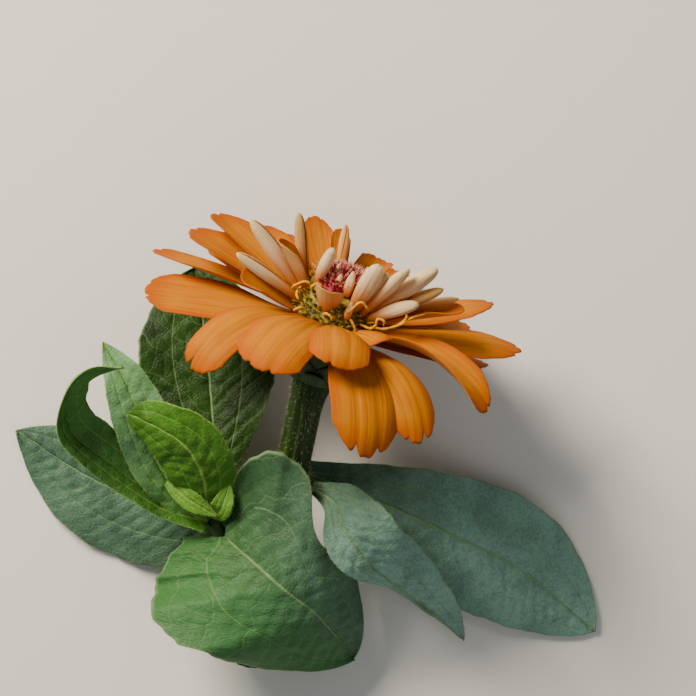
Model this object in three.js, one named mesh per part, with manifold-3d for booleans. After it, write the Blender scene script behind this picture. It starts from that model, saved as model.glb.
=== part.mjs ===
// A zinnia, picked with its stalk, two pairs of leaves and a young side shoot, and laid down.
// Millimetres, +Z up. The surface that it lies on is z = 0.
//
// The bloom has a frame of its own: 'up' runs out of the stalk through the disc, 'right' lies
// level, and 'front' points away from the surface. An azimuth turns from front (0) through
// right (90) to the back petals that touch the surface (180).
import * as THREE from 'three';
import { mergeVertices } from 'three/addons/utils/BufferGeometryUtils.js';
import Module from 'manifold-3d';

const wasm = await Module();
wasm.setup();

// ---- driving dimensions ----
const LEAN = 17;                  // the bloom's axis, degrees to the right of +Y
const TILT = 24;                  // and above the surface
const HEAD_CENTRE = [-3.7, 5.65, 33];   // middle of the outer petals' ring
const HEAD_RADIUS = 9;            // outer petals' ring
const HEAD_CURVE = 15;            // height at which the rounded head would close
const HEAD_FLARE = 36;            // and depth below the ring at which it would narrow to nothing
const ROOT_DEPTH = 1.5;           // how far petal roots reach under that surface
const CORE_INSET = 0.6;           // the receptacle is this much smaller than it
const CORE_BOTTOM = -3.1;
const CORE_TOP = 8.6;
const GAP = 0.3;                  // between neighbouring pieces
const PETAL_THICK = 0.7;
const LEAF_THICK = 0.8;
const STALK_RADIUS = 3.75;
const STALK_NECK = 4.7;           // thickened just under the head
const PITH_RADIUS = 1.7;
const PITH_DEPTH = 2;
const SHOOT_RADIUS = 1.9;
const CLAW = 0.26;                // petal's width at its root, as a share
const FULL_AT = 0.62;             // and where it is full
const TIP_ROUND = 2.4;            // how squarely a petal's tip is rounded
const NOTCH_AT = 0.3;             // tip's two notches, as a share of the half width
const NOTCH_WIDE = 0.07;
const PETAL_STEPS = 48;           // of a petal's middle line
const ROLLED_AT = 0.4;            // share of the petal's length at which its roll is complete
const ROW_ORIGIN = [-9.67, -21.3, 0];   // middle of the laid flower, on the surface

const rad = THREE.MathUtils.degToRad;
const vec = (a) => new THREE.Vector3(...a);

// ---- the bloom's frame ----
const lean = rad(LEAN);
const tilt = rad(TILT);
const up = vec([Math.sin(lean) * Math.cos(tilt), Math.cos(lean) * Math.cos(tilt), Math.sin(tilt)]);
const right = vec([Math.cos(lean), -Math.sin(lean), 0]);
const front = vec([-Math.sin(lean) * Math.sin(tilt), -Math.cos(lean) * Math.sin(tilt), Math.cos(tilt)]);
const headFrame = new THREE.Matrix4().makeBasis(right, front, up).setPosition(vec(HEAD_CENTRE));

// ---- solids ----
// A geometry's places alone, with vertices nearer than 'near' merged.
function merged(geometry, near) {
  const bare = geometry.clone();
  bare.deleteAttribute('normal');
  bare.deleteAttribute('uv');
  return mergeVertices(bare, near);
}

function toSolid(geometry, near = 1e-4) {
  const closed = merged(geometry, near);
  return new wasm.Manifold(new wasm.Mesh({
    numProp: 3,
    vertProperties: new Float32Array(closed.attributes.position.array),
    triVerts: new Uint32Array(closed.index.array),
  }));
}

function skin(solid) {
  const mesh = solid.getMesh();
  const geometry = new THREE.BufferGeometry();
  geometry.setAttribute('position', new THREE.BufferAttribute(mesh.vertProperties, 3));
  geometry.setIndex(new THREE.BufferAttribute(mesh.triVerts, 1));
  return geometry;
}

// The outer skin of a solid. Small hollows that joining sealed are filled, and scraps dropped.
function outerSkin(solid) {
  const bodies = toSolid(skin(solid), 2e-3).decompose();
  const [largest] = bodies.sort((a, b) => b.volume() - a.volume());
  return skin(largest);
}

function join(solids) {
  return solids.reduce((whole, solid) => whole.add(solid));
}

// A closed body from points and triangles, with its faces turned outwards.
function closedBody(points, triangles) {
  let volume = 0;
  for (const [a, b, c] of triangles) {
    volume += points[a].dot(points[b].clone().cross(points[c]));
  }
  const faces = volume < 0 ? triangles.map(([a, b, c]) => [a, c, b]) : triangles;
  const geometry = new THREE.BufferGeometry().setFromPoints(points);
  geometry.setIndex(faces.flat());
  return toSolid(geometry);
}

// A thin blade: rows of middle points, thickened to both sides, with both faces split alike.
function blade(rows, thick) {
  const last = rows.length - 1;
  const edge = rows[0].length - 1;
  const across = edge + 1;
  const lower = rows.length * across;
  const points = [];
  for (const side of [0.5, -0.5]) {
    for (let i = 0; i <= last; i++) {
      for (let j = 0; j <= edge; j++) {
        const along = rows[Math.min(i + 1, last)][j].clone().sub(rows[Math.max(i - 1, 0)][j]);
        const over = rows[i][Math.min(j + 1, edge)].clone().sub(rows[i][Math.max(j - 1, 0)]);
        const normal = along.cross(over).normalize();
        points.push(rows[i][j].clone().addScaledVector(normal, side * thick));
      }
    }
  }
  const at = (i, j) => i * across + j;
  const triangles = [];
  for (let i = 0; i < last; i++) {
    for (let j = 0; j < edge; j++) {
      const [a, b, c, d] = [at(i, j), at(i + 1, j), at(i + 1, j + 1), at(i, j + 1)];
      triangles.push([a, b, c], [a, c, d]);
      triangles.push([lower + a, lower + c, lower + b], [lower + a, lower + d, lower + c]);
    }
  }
  const rim = [];
  for (let j = 0; j < edge; j++) rim.push(at(0, j));
  for (let i = 0; i < last; i++) rim.push(at(i, edge));
  for (let j = edge; j > 0; j--) rim.push(at(last, j));
  for (let i = last; i > 0; i--) rim.push(at(i, 0));
  rim.forEach((a, k) => {
    const b = rim[(k + 1) % rim.length];
    triangles.push([a, b, lower + b], [a, lower + b, lower + a]);
  });
  return closedBody(points, triangles);
}

// A closed body through rings of as many points each, with flat ends.
function lofted(rings) {
  const sides = rings[0].length;
  const last = (rings.length - 1) * sides;
  const triangles = [];
  for (let i = 0; i < rings.length - 1; i++) {
    for (let j = 0; j < sides; j++) {
      const next = (j + 1) % sides;
      const [a, b, c, d] = [i * sides + j, (i + 1) * sides + j, (i + 1) * sides + next, i * sides + next];
      triangles.push([a, b, c], [a, c, d]);
    }
  }
  for (let j = 1; j < sides - 1; j++) {
    triangles.push([0, j, j + 1], [last, last + j + 1, last + j]);
  }
  return closedBody(rings.flat(), triangles);
}

// A round rod along a curve, with a radius for each share of its length.
function rod(points, radiusAt, steps, sides) {
  const curve = new THREE.CatmullRomCurve3(points.map(vec), false, 'catmullrom', 0.5);
  return lofted(Array.from({ length: steps + 1 }, (_, i) => {
    const middle = curve.getPointAt(i / steps);
    const along = curve.getTangentAt(i / steps);
    const side = along.clone().cross(new THREE.Vector3(0, 0, 1)).normalize();
    const over = side.clone().cross(along);
    const radius = radiusAt(i / steps);
    return Array.from({ length: sides }, (_, j) => {
      const turn = (j / sides) * 2 * Math.PI;
      return middle.clone()
        .addScaledVector(side, radius * Math.cos(turn))
        .addScaledVector(over, radius * Math.sin(turn));
    });
  }));
}

// A geometry placed in the bloom's frame as a closed body.
function inHead(geometry) {
  const bare = merged(geometry.clone().applyMatrix4(headFrame), 1e-3);
  const position = bare.attributes.position;
  const points = [];
  for (let k = 0; k < position.count; k++) {
    points.push(new THREE.Vector3().fromBufferAttribute(position, k));
  }
  const triangles = [];
  for (let k = 0; k < bare.index.count; k += 3) {
    const [a, b, c] = [bare.index.getX(k), bare.index.getX(k + 1), bare.index.getX(k + 2)];
    if (a !== b && b !== c && c !== a) triangles.push([a, b, c]);
  }
  return closedBody(points, triangles);
}

// A turned body about the bloom's axis, from [radius, height] points that start and end on it.
function turned(profile, sides) {
  const lathe = new THREE.LatheGeometry(profile.map(([r, h]) => new THREE.Vector2(r, h)), sides);
  return inHead(lathe.rotateX(Math.PI / 2));
}

// ---- petals ----
const headRadius = (level) => HEAD_RADIUS * (level < 0
  ? 1 + level / HEAD_FLARE
  : Math.sqrt(1 - (level / HEAD_CURVE) ** 2));

// The middle line of a petal in the bloom's frame, with its side and upper directions.
function petalLine(azimuth, level, long, rise, droop, yaw) {
  const radius = headRadius(level) - ROOT_DEPTH;
  const start = rad(azimuth);
  let point = vec([radius * Math.sin(start), radius * Math.cos(start), level]);
  return Array.from({ length: PETAL_STEPS + 1 }, (_, k) => {
    const share = k / PETAL_STEPS;
    const climb = rad(rise - droop * share ** 1.6);
    const heading = rad(azimuth + yaw * share);
    const flat = Math.cos(climb);
    const along = vec([flat * Math.sin(heading), flat * Math.cos(heading), Math.sin(climb)]);
    const side = vec([Math.cos(heading), -Math.sin(heading), 0]);
    const here = point.clone();
    point = point.addScaledVector(along, long / PETAL_STEPS);
    return { point: here, side, over: side.clone().cross(along) };
  });
}

function petalWidth(share) {
  return CLAW + (1 - CLAW) * Math.sin((Math.PI / 2) * Math.min(1, share / FULL_AT)) ** 1.3;
}

// One petal. It leaves the head at an azimuth and a level, rises, droops towards its tip, is
// rolled about its own length and cupped (a trough) or, with a minus, arched. Its tip is rounded
// off by 'blunt' of its length and cut by a notch left and right of the middle.
const petalNotch = (x) => Math.exp(-(((x - NOTCH_AT) / NOTCH_WIDE) ** 2));

function petal(shape, columns, steps) {
  const [azimuth, level, long, wide, rise, droop, roll, cup, ...tip] = shape;
  const [yaw = 0, blunt = 0.2, leftNotch = 0.02, rightNotch = 0.02] = tip;
  const line = petalLine(azimuth, level, long, rise, droop, yaw);
  const fine = line.length - 1;
  const bend = rad(cup);
  const rows = [];
  for (let i = 0; i <= steps; i++) {
    rows.push(columns.map((x) => {
      const depth = blunt * Math.abs(x) ** TIP_ROUND
        + leftNotch * petalNotch(-x) + rightNotch * petalNotch(x);
      const share = (i / steps) * (1 - depth);
      const k = Math.min(Math.floor(share * fine), fine - 1);
      const { side, over } = line[k];
      const middle = line[k].point.clone().lerp(line[k + 1].point, share * fine - k);
      const turn = rad(roll * Math.min(1, share / ROLLED_AT));
      const sideways = side.clone().multiplyScalar(Math.cos(turn)).addScaledVector(over, Math.sin(turn));
      const outwards = over.clone().multiplyScalar(Math.cos(turn)).addScaledVector(side, -Math.sin(turn));
      const bow = ((wide / 2) * petalWidth(share)) / bend;
      return middle
        .addScaledVector(sideways, bow * Math.sin(bend * x))
        .addScaledVector(outwards, bow * (1 - Math.cos(bend * x)))
        .applyMatrix4(headFrame);
    }));
  }
  return blade(rows, PETAL_THICK);
}

// A young petal, still rolled up: a plump finger with a slim root and a rounded tip.
const ROLLED_SIDES = 7;
// share of the length, share of the width
const ROLLED_RINGS = [[0, 0.45], [0.3, 0.75], [0.6, 1], [0.85, 0.9], [0.96, 0.6], [1, 0.25]];

function rolledPetal([azimuth, level, long, round, rise, droop, yaw = 0], extra = 0) {
  const line = petalLine(azimuth, level, long, rise, droop, yaw);
  const rings = ROLLED_RINGS.map(([share, width]) => {
    const { point, side, over } = line[Math.round(share * (line.length - 1))];
    return Array.from({ length: ROLLED_SIDES }, (_, j) => {
      const turn = (j / ROLLED_SIDES) * 2 * Math.PI;
      return point.clone()
        .addScaledVector(side, ((round / 2) * width + extra) * Math.cos(turn))
        .addScaledVector(over, ((round / 2) * width + extra) * Math.sin(turn))
        .applyMatrix4(headFrame);
    });
  });
  return lofted(rings);
}

// azimuth, level, long, wide, rise, droop, roll, cup, yaw, blunt, left notch, right notch
const OUTER_PETALS = [
  [-92, -1, 34.2, 12.8, -6, 5, -18, -8, 0, 0.16, 0.01, 0.03],
  [-45, 1.8, 34, 10.5, 14, 90, -8, -22, 4, 0.12, 0.07, 0],
  [-20, 2, 29, 16, 22, 76, -2, -26, 0, 0.14, 0.03, 0.03],
  [9, 2.4, 23.5, 13.5, 26, 62, 0, -22, 0, 0.16, 0.04, 0],
  [24, -0.8, 36, 16.5, 14, 96, -2, -24, 2, 0.22, 0.06, 0.06],
  [44, -1, 34, 12, 16, 82, 18, -50, -4, 0.2, 0.03, 0.07],
  [62, 0, 37, 12, 24, 66, -8, 44, -4, 0.24],
  [94, 0, 34.5, 12, 14, 14, 4, -16, 0, 0.26, 0.04, 0.02],
  [113, 1, 29.5, 10.5, 19, 4, -4, -20, 0, 0.24],
  [-104, 1, 36, 12, -3, -2, 12, 24, 0, 0.26],
];
const BACK_PETALS = [
  [128, -1, 30, 13, 2, 4, 0, -14],
  [144, -1.8, 31, 13, 2, 4, 0, -14],
  [161, -0.4, 31.3, 13, 4, 2, 0, -12],
  [179, -1.8, 28.6, 13, 4, 2, 0, -10],
  [-161, -0.4, 31, 13, 3.6, 2, 0, -12],
  [-143, -1.8, 30, 13, 5, 4, 0, -14],
  [-125, 0, 31, 13, 6, 4, 0, -14],
];
const MIDDLE_PETALS = [
  [103, -1, 26, 12, 10, 6, 0, -14],
  [98, -2, 29, 12, 5, 8, -10, -14],
  [-103, 2, 29.5, 11.5, 12, 4, -4, 26, 0, 0.24],
  [-110, 3, 28, 10, 18, 2, -4, 40, 0, 0.24],
  [-66, 1, 17, 11, 26, 4, -6, 34],
  [-153, 1, 26, 7.5, 9, 1, 0, 10],
  [-160, 3, 24.5, 7.5, 20, 2, 0, 10],
  [-171, 2, 25, 6.5, 11, 1, 0, 8],
  [-170, 4.5, 18, 5, 26, 1, 0, 40],
  [166, 3, 21, 9, 10, 1, 0, 60],
  [150, 0, 24, 10, 6, 2, 0, 20],
  [132, 0, 25, 10, 6, 2, 0, 20],
  [-136, 2, 25, 10, 14, 2, 0, 20],
  [76, 2, 23.5, 9, 34, 6, 0, 40],
  [40, 2, 13, 8, 30, 30, 10, -60],
  [-14, 4, 9, 8, 60, 2, 0, 70],
  [-74, 5, 15, 8.5, 52, 4, 0, 80, 0, 0.3],
];
const WIDE_COLUMNS = [-1, -0.85, -0.6, -0.4, -0.3, -0.2, 0, 0.2, 0.3, 0.4, 0.6, 0.85, 1];
const PLAIN_COLUMNS = [-1, -0.6, 0, 0.6, 1];

// azimuth, level, long, round, rise, droop, yaw
const ROLLED_PETALS = [
  [-86, 4, 21, 3.4, 45, 8],
  [-75, 3.5, 19, 2.8, 26, 1],
  [-60, 7.3, 10.6, 2.7, 98, -4],
  [-100, 4, 18.5, 2.8, 70, 1],
  [-171, 6, 16, 2.2, 34, 1],
  [34, 6.5, 14.5, 4.2, 70, 4],
  [46, 6, 13.5, 2.3, 68, 4],
  [49, 5, 19.5, 2.7, 61, 4],
  [63, 4.5, 23, 3.6, 55, 4],
  [69, 3.5, 21.3, 2.7, 46, 4],
  [60, 4, 16, 3.1, 42, 6],
  [80, 3, 22, 2.3, 38, 6],
];
function rayPetals() {
  const core = turned([
    [0, CORE_BOTTOM],
    [headRadius(CORE_BOTTOM) - CORE_INSET, CORE_BOTTOM],
    [headRadius(0) - CORE_INSET, 0],
    [headRadius(4) - CORE_INSET, 4],
    [headRadius(CORE_TOP) - CORE_INSET, CORE_TOP],
    [0, CORE_TOP],
  ], 20);
  return join([
    core,
    ...OUTER_PETALS.map((shape) => petal(shape, WIDE_COLUMNS, 6)),
    ...BACK_PETALS.map((shape) => petal(shape, PLAIN_COLUMNS, 4)),
    ...MIDDLE_PETALS.map((shape) => petal(shape, PLAIN_COLUMNS, 4)),
    ...ROLLED_PETALS.map((shape) => rolledPetal(shape)),
  ]);
}

// ---- disc ----
const DISC_RADIUS = 6.2;
const DISC_BOTTOM = CORE_TOP + GAP;
const DISC_DOME = 2.2;
const FLORETS = 44;
const FLORET_LONG = 3.4;
const FLORET_RADIUS = 0.62;
const FLORET_REACH = 5.1;         // outermost floret from the axis
const FLORET_FOOT = 1.2;          // and its middle above the disc's underside
const FLORET_SUNK = 0.9;
const FLORET_SPREAD = 34;         // degrees that the outermost lean out
const GOLDEN_ANGLE = 137.508;

// A short pointed bract or floret, four-sided, with its root sunk in the dome.
function floret(index) {
  const share = Math.sqrt((index + 0.5) / FLORETS);
  const turn = rad(index * GOLDEN_ANGLE);
  const outer = FLORET_REACH * share;
  const spread = rad(FLORET_SPREAD * share);
  const geometry = new THREE.ConeGeometry(FLORET_RADIUS, FLORET_LONG, 4, 1);
  geometry.rotateX(Math.PI / 2);
  geometry.translate(0, 0, FLORET_LONG / 2 - FLORET_SUNK);
  geometry.rotateX(-spread);
  geometry.translate(0, outer, DISC_BOTTOM + FLORET_FOOT + (DISC_DOME - FLORET_SUNK) * (1 - share ** 2));
  return inHead(geometry.rotateZ(-turn));
}

function disc() {
  const dome = turned([
    [0, DISC_BOTTOM],
    [DISC_RADIUS, DISC_BOTTOM],
    [DISC_RADIUS * 0.92, DISC_BOTTOM + DISC_DOME * 0.4],
    [DISC_RADIUS * 0.6, DISC_BOTTOM + DISC_DOME * 0.85],
    [0, DISC_BOTTOM + DISC_DOME],
  ], 16);
  const dressed = join([dome, ...Array.from({ length: FLORETS }, (_, index) => floret(index))]);
  const clearance = join(ROLLED_PETALS.map((shape) => rolledPetal(shape, GAP)));
  return dressed.subtract(clearance);
}

// ---- involucre ----
const CUP_TOP = CORE_BOTTOM - GAP;
const CUP_BOTTOM = -13.4;
const CUP_PROFILE = [[4.6, CUP_BOTTOM], [6.9, -12], [8.4, -9], [8.8, -6], [8.5, CUP_TOP]];
const CUP_COLUMNS = 48;
const CUP_RINGS = 10;
const BRACT_ROUND = 2.6;          // how much lower a bract's edges end than its middle
const BRACT_ROWS = [
  { count: 8, high: -8.6, raised: 1.3 },
  { count: 8, high: -5.8, raised: 0.9 },
  { count: 8, high: -3.2, raised: 0.5 },
];

function cupRadius(level) {
  const last = CUP_PROFILE.length - 1;
  const k = Math.min(last - 1, Math.max(0, CUP_PROFILE.findIndex(([, h]) => h > level) - 1));
  const [[r0, h0], [r1, h1]] = [CUP_PROFILE[k], CUP_PROFILE[k + 1]];
  return r0 + (r1 - r0) * Math.min(1, Math.max(0, (level - h0) / (h1 - h0)));
}

// How far the rows of round-tipped bracts stand out of the cup at a level and a turn (0 to 1).
function bractRelief(level, turn) {
  const raised = BRACT_ROWS.map((bracts, index) => {
    const place = turn * bracts.count + index / 2;
    const x = 2 * (place - Math.round(place));
    const tip = bracts.high - BRACT_ROUND * x * x;
    return level <= tip ? bracts.raised * (1 - 0.5 * x * x) : 0;
  });
  return Math.max(...raised) * Math.min(1, (level - CUP_BOTTOM) / 1.5);
}

function involucre() {
  const points = [[0, CUP_BOTTOM], [0, CUP_TOP]].map(([x, h]) => vec([x, x, h]).applyMatrix4(headFrame));
  const triangles = [];
  const at = (i, j) => 2 + i * CUP_COLUMNS + (j % CUP_COLUMNS);
  for (let i = 0; i <= CUP_RINGS; i++) {
    const level = CUP_BOTTOM + ((CUP_TOP - CUP_BOTTOM) * i) / CUP_RINGS;
    for (let j = 0; j < CUP_COLUMNS; j++) {
      const turn = (j / CUP_COLUMNS) * 2 * Math.PI;
      const radius = cupRadius(level) + bractRelief(level, j / CUP_COLUMNS);
      points.push(vec([radius * Math.sin(turn), radius * Math.cos(turn), level]).applyMatrix4(headFrame));
    }
  }
  for (let j = 0; j < CUP_COLUMNS; j++) {
    for (let i = 0; i < CUP_RINGS; i++) {
      triangles.push([at(i, j), at(i + 1, j), at(i + 1, j + 1)]);
      triangles.push([at(i, j), at(i + 1, j + 1), at(i, j + 1)]);
    }
    triangles.push([0, at(0, j), at(0, j + 1)], [1, at(CUP_RINGS, j + 1), at(CUP_RINGS, j)]);
  }
  return closedBody(points, triangles);
}

// ---- stalk ----
const headPoint = (level) => vec([0, 0, level]).applyMatrix4(headFrame).toArray();
const STALK_LINE = [
  headPoint(CUP_BOTTOM - GAP), headPoint(-22), [-14, -34, 16.4], [-19, -51.5, 9.7], [-22.4, -71, 3.4],
];

const stalkRadius = (share) => STALK_RADIUS
  + (STALK_NECK - STALK_RADIUS) * Math.max(0, 1 - share / 0.14) ** 2
  + 0.25 * Math.max(0, share - 0.8) / 0.2;

const stalkBody = (extra) => rod(STALK_LINE, (share) => stalkRadius(share) + extra, 14, 12);

// All below the surface: it leaves the small flat spot that the cut end rests on.
function surfaceBlock() {
  const block = new THREE.BoxGeometry(400, 400, 40);
  block.translate(0, 0, -20);
  return toSolid(block);
}

function stalk() {
  const line = new THREE.CatmullRomCurve3(STALK_LINE.map(vec), false, 'catmullrom', 0.5);
  const end = line.getPointAt(1);
  const inwards = line.getTangentAt(1).negate();
  const pith = new THREE.CylinderGeometry(PITH_RADIUS, PITH_RADIUS, PITH_DEPTH * 2, 10);
  pith.applyQuaternion(new THREE.Quaternion().setFromUnitVectors(new THREE.Vector3(0, 1, 0), inwards));
  pith.translate(...end.toArray());
  return stalkBody(0).subtract(toSolid(pith)).subtract(surfaceBlock());
}

// ---- leaves ----
// Share of a leaf's full width. 'slow' keeps its base slim, 'point' shapes its tip, and 'tuck'
// draws its edge in where a neighbour passes.
const TUCK_AT = 0.48;
const TUCK_LONG = 0.1;

function leafWidth(share, { base, fullAt, slow, point, tuck }) {
  const grown = Math.sin((Math.PI / 2) * Math.min(1, share / fullAt)) ** slow;
  const past = Math.max(0, (share - fullAt) / (1 - fullAt));
  const drawnIn = 1 - tuck * Math.exp(-(((share - TUCK_AT) / TUCK_LONG) ** 2));
  return (base + (1 - base) * grown) * (1 - past ** 2) ** point * drawnIn;
}

// One leaf along its midrib, folded at it, bowed to both edges and waved along them. 'rise' is how
// far the edges stand up at the base and at the tip, 'sweep' draws the base back into lobes, and
// 'other' holds what differs in the half on the left of the midrib.
const PLAIN_LEAF = {
  fold: 8, bow: 0, rise: [0, 0], wave: 0.8, waves: 3, base: 0.4, fullAt: 0.45, slow: 1, point: 0.9,
  tuck: 0, roll: 0, twist: 0, sweep: 0, face: [0, 0, 1], other: {},
};

function leaf(shape, columns, steps) {
  const kind = { ...PLAIN_LEAF, ...shape };
  const halves = [{ ...kind, ...kind.other }, kind];
  const curve = new THREE.CatmullRomCurve3(kind.midrib.map(vec), false, 'catmullrom', 0.5);
  const over = vec(kind.face);
  const rows = [];
  for (let i = 0; i <= steps; i++) {
    const share = i / steps;
    const along = curve.getTangentAt(share);
    over.addScaledVector(along, -over.dot(along)).normalize();
    const side = along.clone().cross(over);
    const turn = rad(kind.roll + kind.twist * share);
    const sideways = side.clone().multiplyScalar(Math.cos(turn)).addScaledVector(over, Math.sin(turn));
    const outwards = over.clone().multiplyScalar(Math.cos(turn)).addScaledVector(side, -Math.sin(turn));
    rows.push(columns.map((x) => {
      const hand = halves[x < 0 ? 0 : 1];
      const { wide, fold, bow, rise, wave, waves, sweep } = hand;
      const half = Math.max(0.6, (wide / 2) * leafWidth(share, hand));
      const out = Math.abs(x) * half;
      const ripple = wave * x * x * Math.min(1, share / 0.15)
        * Math.sin(2 * Math.PI * waves * share + (x > 0 ? 0 : 1.3));
      const stand = rise[0] + (rise[1] - rise[0]) * share - (bow * wide) / 2;
      return curve.getPointAt(share)
        .addScaledVector(along, -sweep * out * (1 - share))
        .addScaledVector(sideways, Math.cos(rad(fold)) * out * Math.sign(x))
        .addScaledVector(outwards, Math.sin(rad(fold)) * out + stand * (out / (wide / 2)) ** 2 + ripple);
    }));
  }
  return blade(rows, LEAF_THICK);
}

const LEAF_COLUMNS = [-1, -0.7, -0.35, 0, 0.35, 0.7, 1];
const SLIM_COLUMNS = [-1, -0.5, 0, 0.5, 1];

const UPPER_RIGHT = {
  midrib: [[-10.6, -27, 18], [-4.4, -29.8, 14], [10.3, -36, 11.5], [24, -42.5, 9.5], [39, -50.2, 5.8],
    [56, -64.6, 0.9]],
  wide: 29, fold: 5, bow: 0.3, base: 0.18, fullAt: 0.62, slow: 1.3, point: 0.8,
};
const UPPER_LEFT = {
  midrib: [[-15.5, -38.5, 12.5], [-32, -38, 5.5], [-47, -34.3, 3.2], [-60.5, -28.5, 2.3],
    [-75.5, -18.7, 1.4]],
  wide: 29, fold: 6, bow: 0.12, base: 0.3, fullAt: 0.5, point: 0.9,
};
const FRONT = {
  midrib: [[-27.3, -42, 19], [-23.6, -45, 21.5], [-19.3, -48.6, 24], [-14.4, -52.8, 25],
    [-8, -58, 22], [-3, -64, 15], [1, -69.6, 7]],
  wide: 48, fold: 4, bow: 0.25, wave: 1.4, waves: 2.2, base: 0.25, fullAt: 0.5, slow: 1.3, point: 0.9,
  sweep: 1.35,
  other: {
    wide: 47, bow: 0, base: 0.2, fullAt: 0.3, slow: 0.8, point: 1, rise: [18, -36], tuck: 0.42, sweep: 0.65,
  },
};
const FRONT_RIGHT = {
  midrib: [[-11.8, -29.6, 17.6], [-7.4, -31.5, 20.5], [-3, -34, 25], [-1.2, -38.5, 29],
    [1, -42.8, 30.5], [5, -47.5, 28.5], [12, -53.5, 21], [20, -60.5, 11], [26, -66, 3]],
  wide: 12, fold: 2, bow: 0, base: 0.12, fullAt: 0.32, slow: 3, point: 6, roll: 8,
  other: { wide: 22, fold: 6, bow: 0.2, base: 0.1, fullAt: 0.35, slow: 2.5, point: 0.8 },
};
const SHOOT_BACK = {
  midrib: [[-29, -39, 15], [-29.8, -27.5, 12.5], [-30.8, -11.7, 9.5], [-32.6, 4.1, 6.5],
    [-34.7, 18.2, 3.5]],
  wide: 31, fold: 6, base: 0.08, fullAt: 0.64, slow: 1.8, point: 0.7,
};

// ---- side shoot ----
const SHOOT_LINE = [[-19.3, -51, 11], [-24.5, -45, 14], [-28.6, -41, 16.5], [-30, -38, 18.5]];
const SHOOT_LEAVES = [
  {
    midrib: [[-31, -39, 17.5], [-42.4, -33.2, 19], [-53, -25.1, 24], [-60.3, -18.3, 30], [-61, -10.8, 36],
      [-57, -5.6, 38.5], [-48.9, -4.1, 34]],
    wide: 14, face: [0.2, 0.3, 0.9], fold: 20, wave: 0.5, waves: 4, base: 0.6, fullAt: 0.4, twist: 10,
    other: { wide: 10 },
  },
  {
    midrib: [[-34.5, -36.2, 17.5], [-41.4, -26.9, 22], [-45.1, -17, 25], [-49.2, -7, 25.5],
      [-54, 1.3, 23.5]],
    wide: 13, fold: 12, wave: 0.5, waves: 4, base: 0.5, fullAt: 0.5,
  },
  {
    midrib: [[-31.2, -36, 19], [-31.9, -28.5, 26], [-35.2, -21.8, 30.5], [-41.4, -17.4, 31.5],
      [-48, -14.4, 29]],
    wide: 16, fold: -8, wave: 0.4, base: 0.5, point: 0.55,
  },
  { midrib: [[-29.6, -38, 18], [-27.8, -35, 22], [-26, -30, 23]], wide: 5, fold: 10, wave: 0.2, waves: 2 },
  {
    midrib: [[-40, -29.6, 22.5], [-34.8, -33.6, 23.5], [-29, -37.2, 22]],
    wide: 4.5, fold: 10, wave: 0.2, waves: 2,
  },
];

const shootRod = (extra) => rod(SHOOT_LINE, (share) => SHOOT_RADIUS + extra - 0.5 * share, 6, 8);

function sideShoot() {
  const steps = [12, 8, 8, 4, 4];
  const leaves = SHOOT_LEAVES.map((shape, k) => leaf(shape, SLIM_COLUMNS, steps[k]));
  return join([shootRod(0), ...leaves]).subtract(stalkBody(GAP));
}

// A grown leaf, cut to clasp the stalk and the side shoot without touching them.
function grownLeaf(shape) {
  return leaf(shape, LEAF_COLUMNS, 12)
    .subtract(stalkBody(GAP))
    .subtract(shootRod(GAP));
}

// ---- the flower ----
const LEAF_DARK = { color: 0x2f5a3a, roughness: 0.6, metalness: 0 };
const LEAF_LIGHT = { color: 0x6d9a3c, roughness: 0.6, metalness: 0 };

const PIECES = {
  stalk: [stalk(), { color: 0x3a5a2c, roughness: 0.6, metalness: 0 }],
  involucre: [involucre(), { color: 0x47652f, roughness: 0.65, metalness: 0 }],
  ray_petals: [rayPetals(), { color: 0xf98a1e, roughness: 0.55, metalness: 0 }],
  disc: [disc(), { color: 0xc4455a, roughness: 0.7, metalness: 0 }],
  leaf_upper_right: [grownLeaf(UPPER_RIGHT), LEAF_DARK],
  leaf_upper_left: [grownLeaf(UPPER_LEFT), LEAF_DARK],
  leaf_front: [grownLeaf(FRONT), LEAF_DARK],
  leaf_front_right: [grownLeaf(FRONT_RIGHT), LEAF_DARK],
  leaf_shoot_back: [grownLeaf(SHOOT_BACK), LEAF_DARK],
  side_shoot: [sideShoot(), LEAF_LIGHT],
};

const zinnia = new THREE.Group();
for (const [name, [solid, finish]] of Object.entries(PIECES)) {
  const mesh = new THREE.Mesh(outerSkin(solid), new THREE.MeshStandardMaterial(finish));
  mesh.name = name;
  zinnia.add(mesh);
}
zinnia.position.set(...ROW_ORIGIN).negate();

export default zinnia;
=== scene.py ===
# A zinnia, picked with its stalk, leaves and a young side shoot, and laid down on a surface.
# Sizes are millimetres in the flower's own layout, and are turned to metres where a piece is made.
import math

import bpy
import numpy as np
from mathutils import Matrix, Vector


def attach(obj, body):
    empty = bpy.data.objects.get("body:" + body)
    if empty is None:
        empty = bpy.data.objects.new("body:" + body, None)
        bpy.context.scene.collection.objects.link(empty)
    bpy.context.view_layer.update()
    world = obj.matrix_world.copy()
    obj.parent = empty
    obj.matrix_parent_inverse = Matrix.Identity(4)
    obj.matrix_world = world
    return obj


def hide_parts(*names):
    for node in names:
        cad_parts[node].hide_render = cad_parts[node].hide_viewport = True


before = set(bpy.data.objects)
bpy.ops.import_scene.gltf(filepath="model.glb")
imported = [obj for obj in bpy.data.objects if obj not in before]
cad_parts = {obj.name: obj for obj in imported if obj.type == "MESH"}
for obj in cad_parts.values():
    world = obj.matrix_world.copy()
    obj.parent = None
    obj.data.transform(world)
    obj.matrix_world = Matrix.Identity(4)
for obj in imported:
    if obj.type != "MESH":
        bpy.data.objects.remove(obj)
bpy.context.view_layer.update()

# ---- Camera ----
# It looks straight down on the laid flower, from far enough to keep the petals' true proportions.
# At the bloom's height one millimetre takes 4.6 of the picture's 696 pixels.
MIDDLE = (9.67, 21.3, 0)       # from the flower's layout to the middle of its box
CAMERA_HIGH = 700
BLOOM_HIGH = 33
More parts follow.
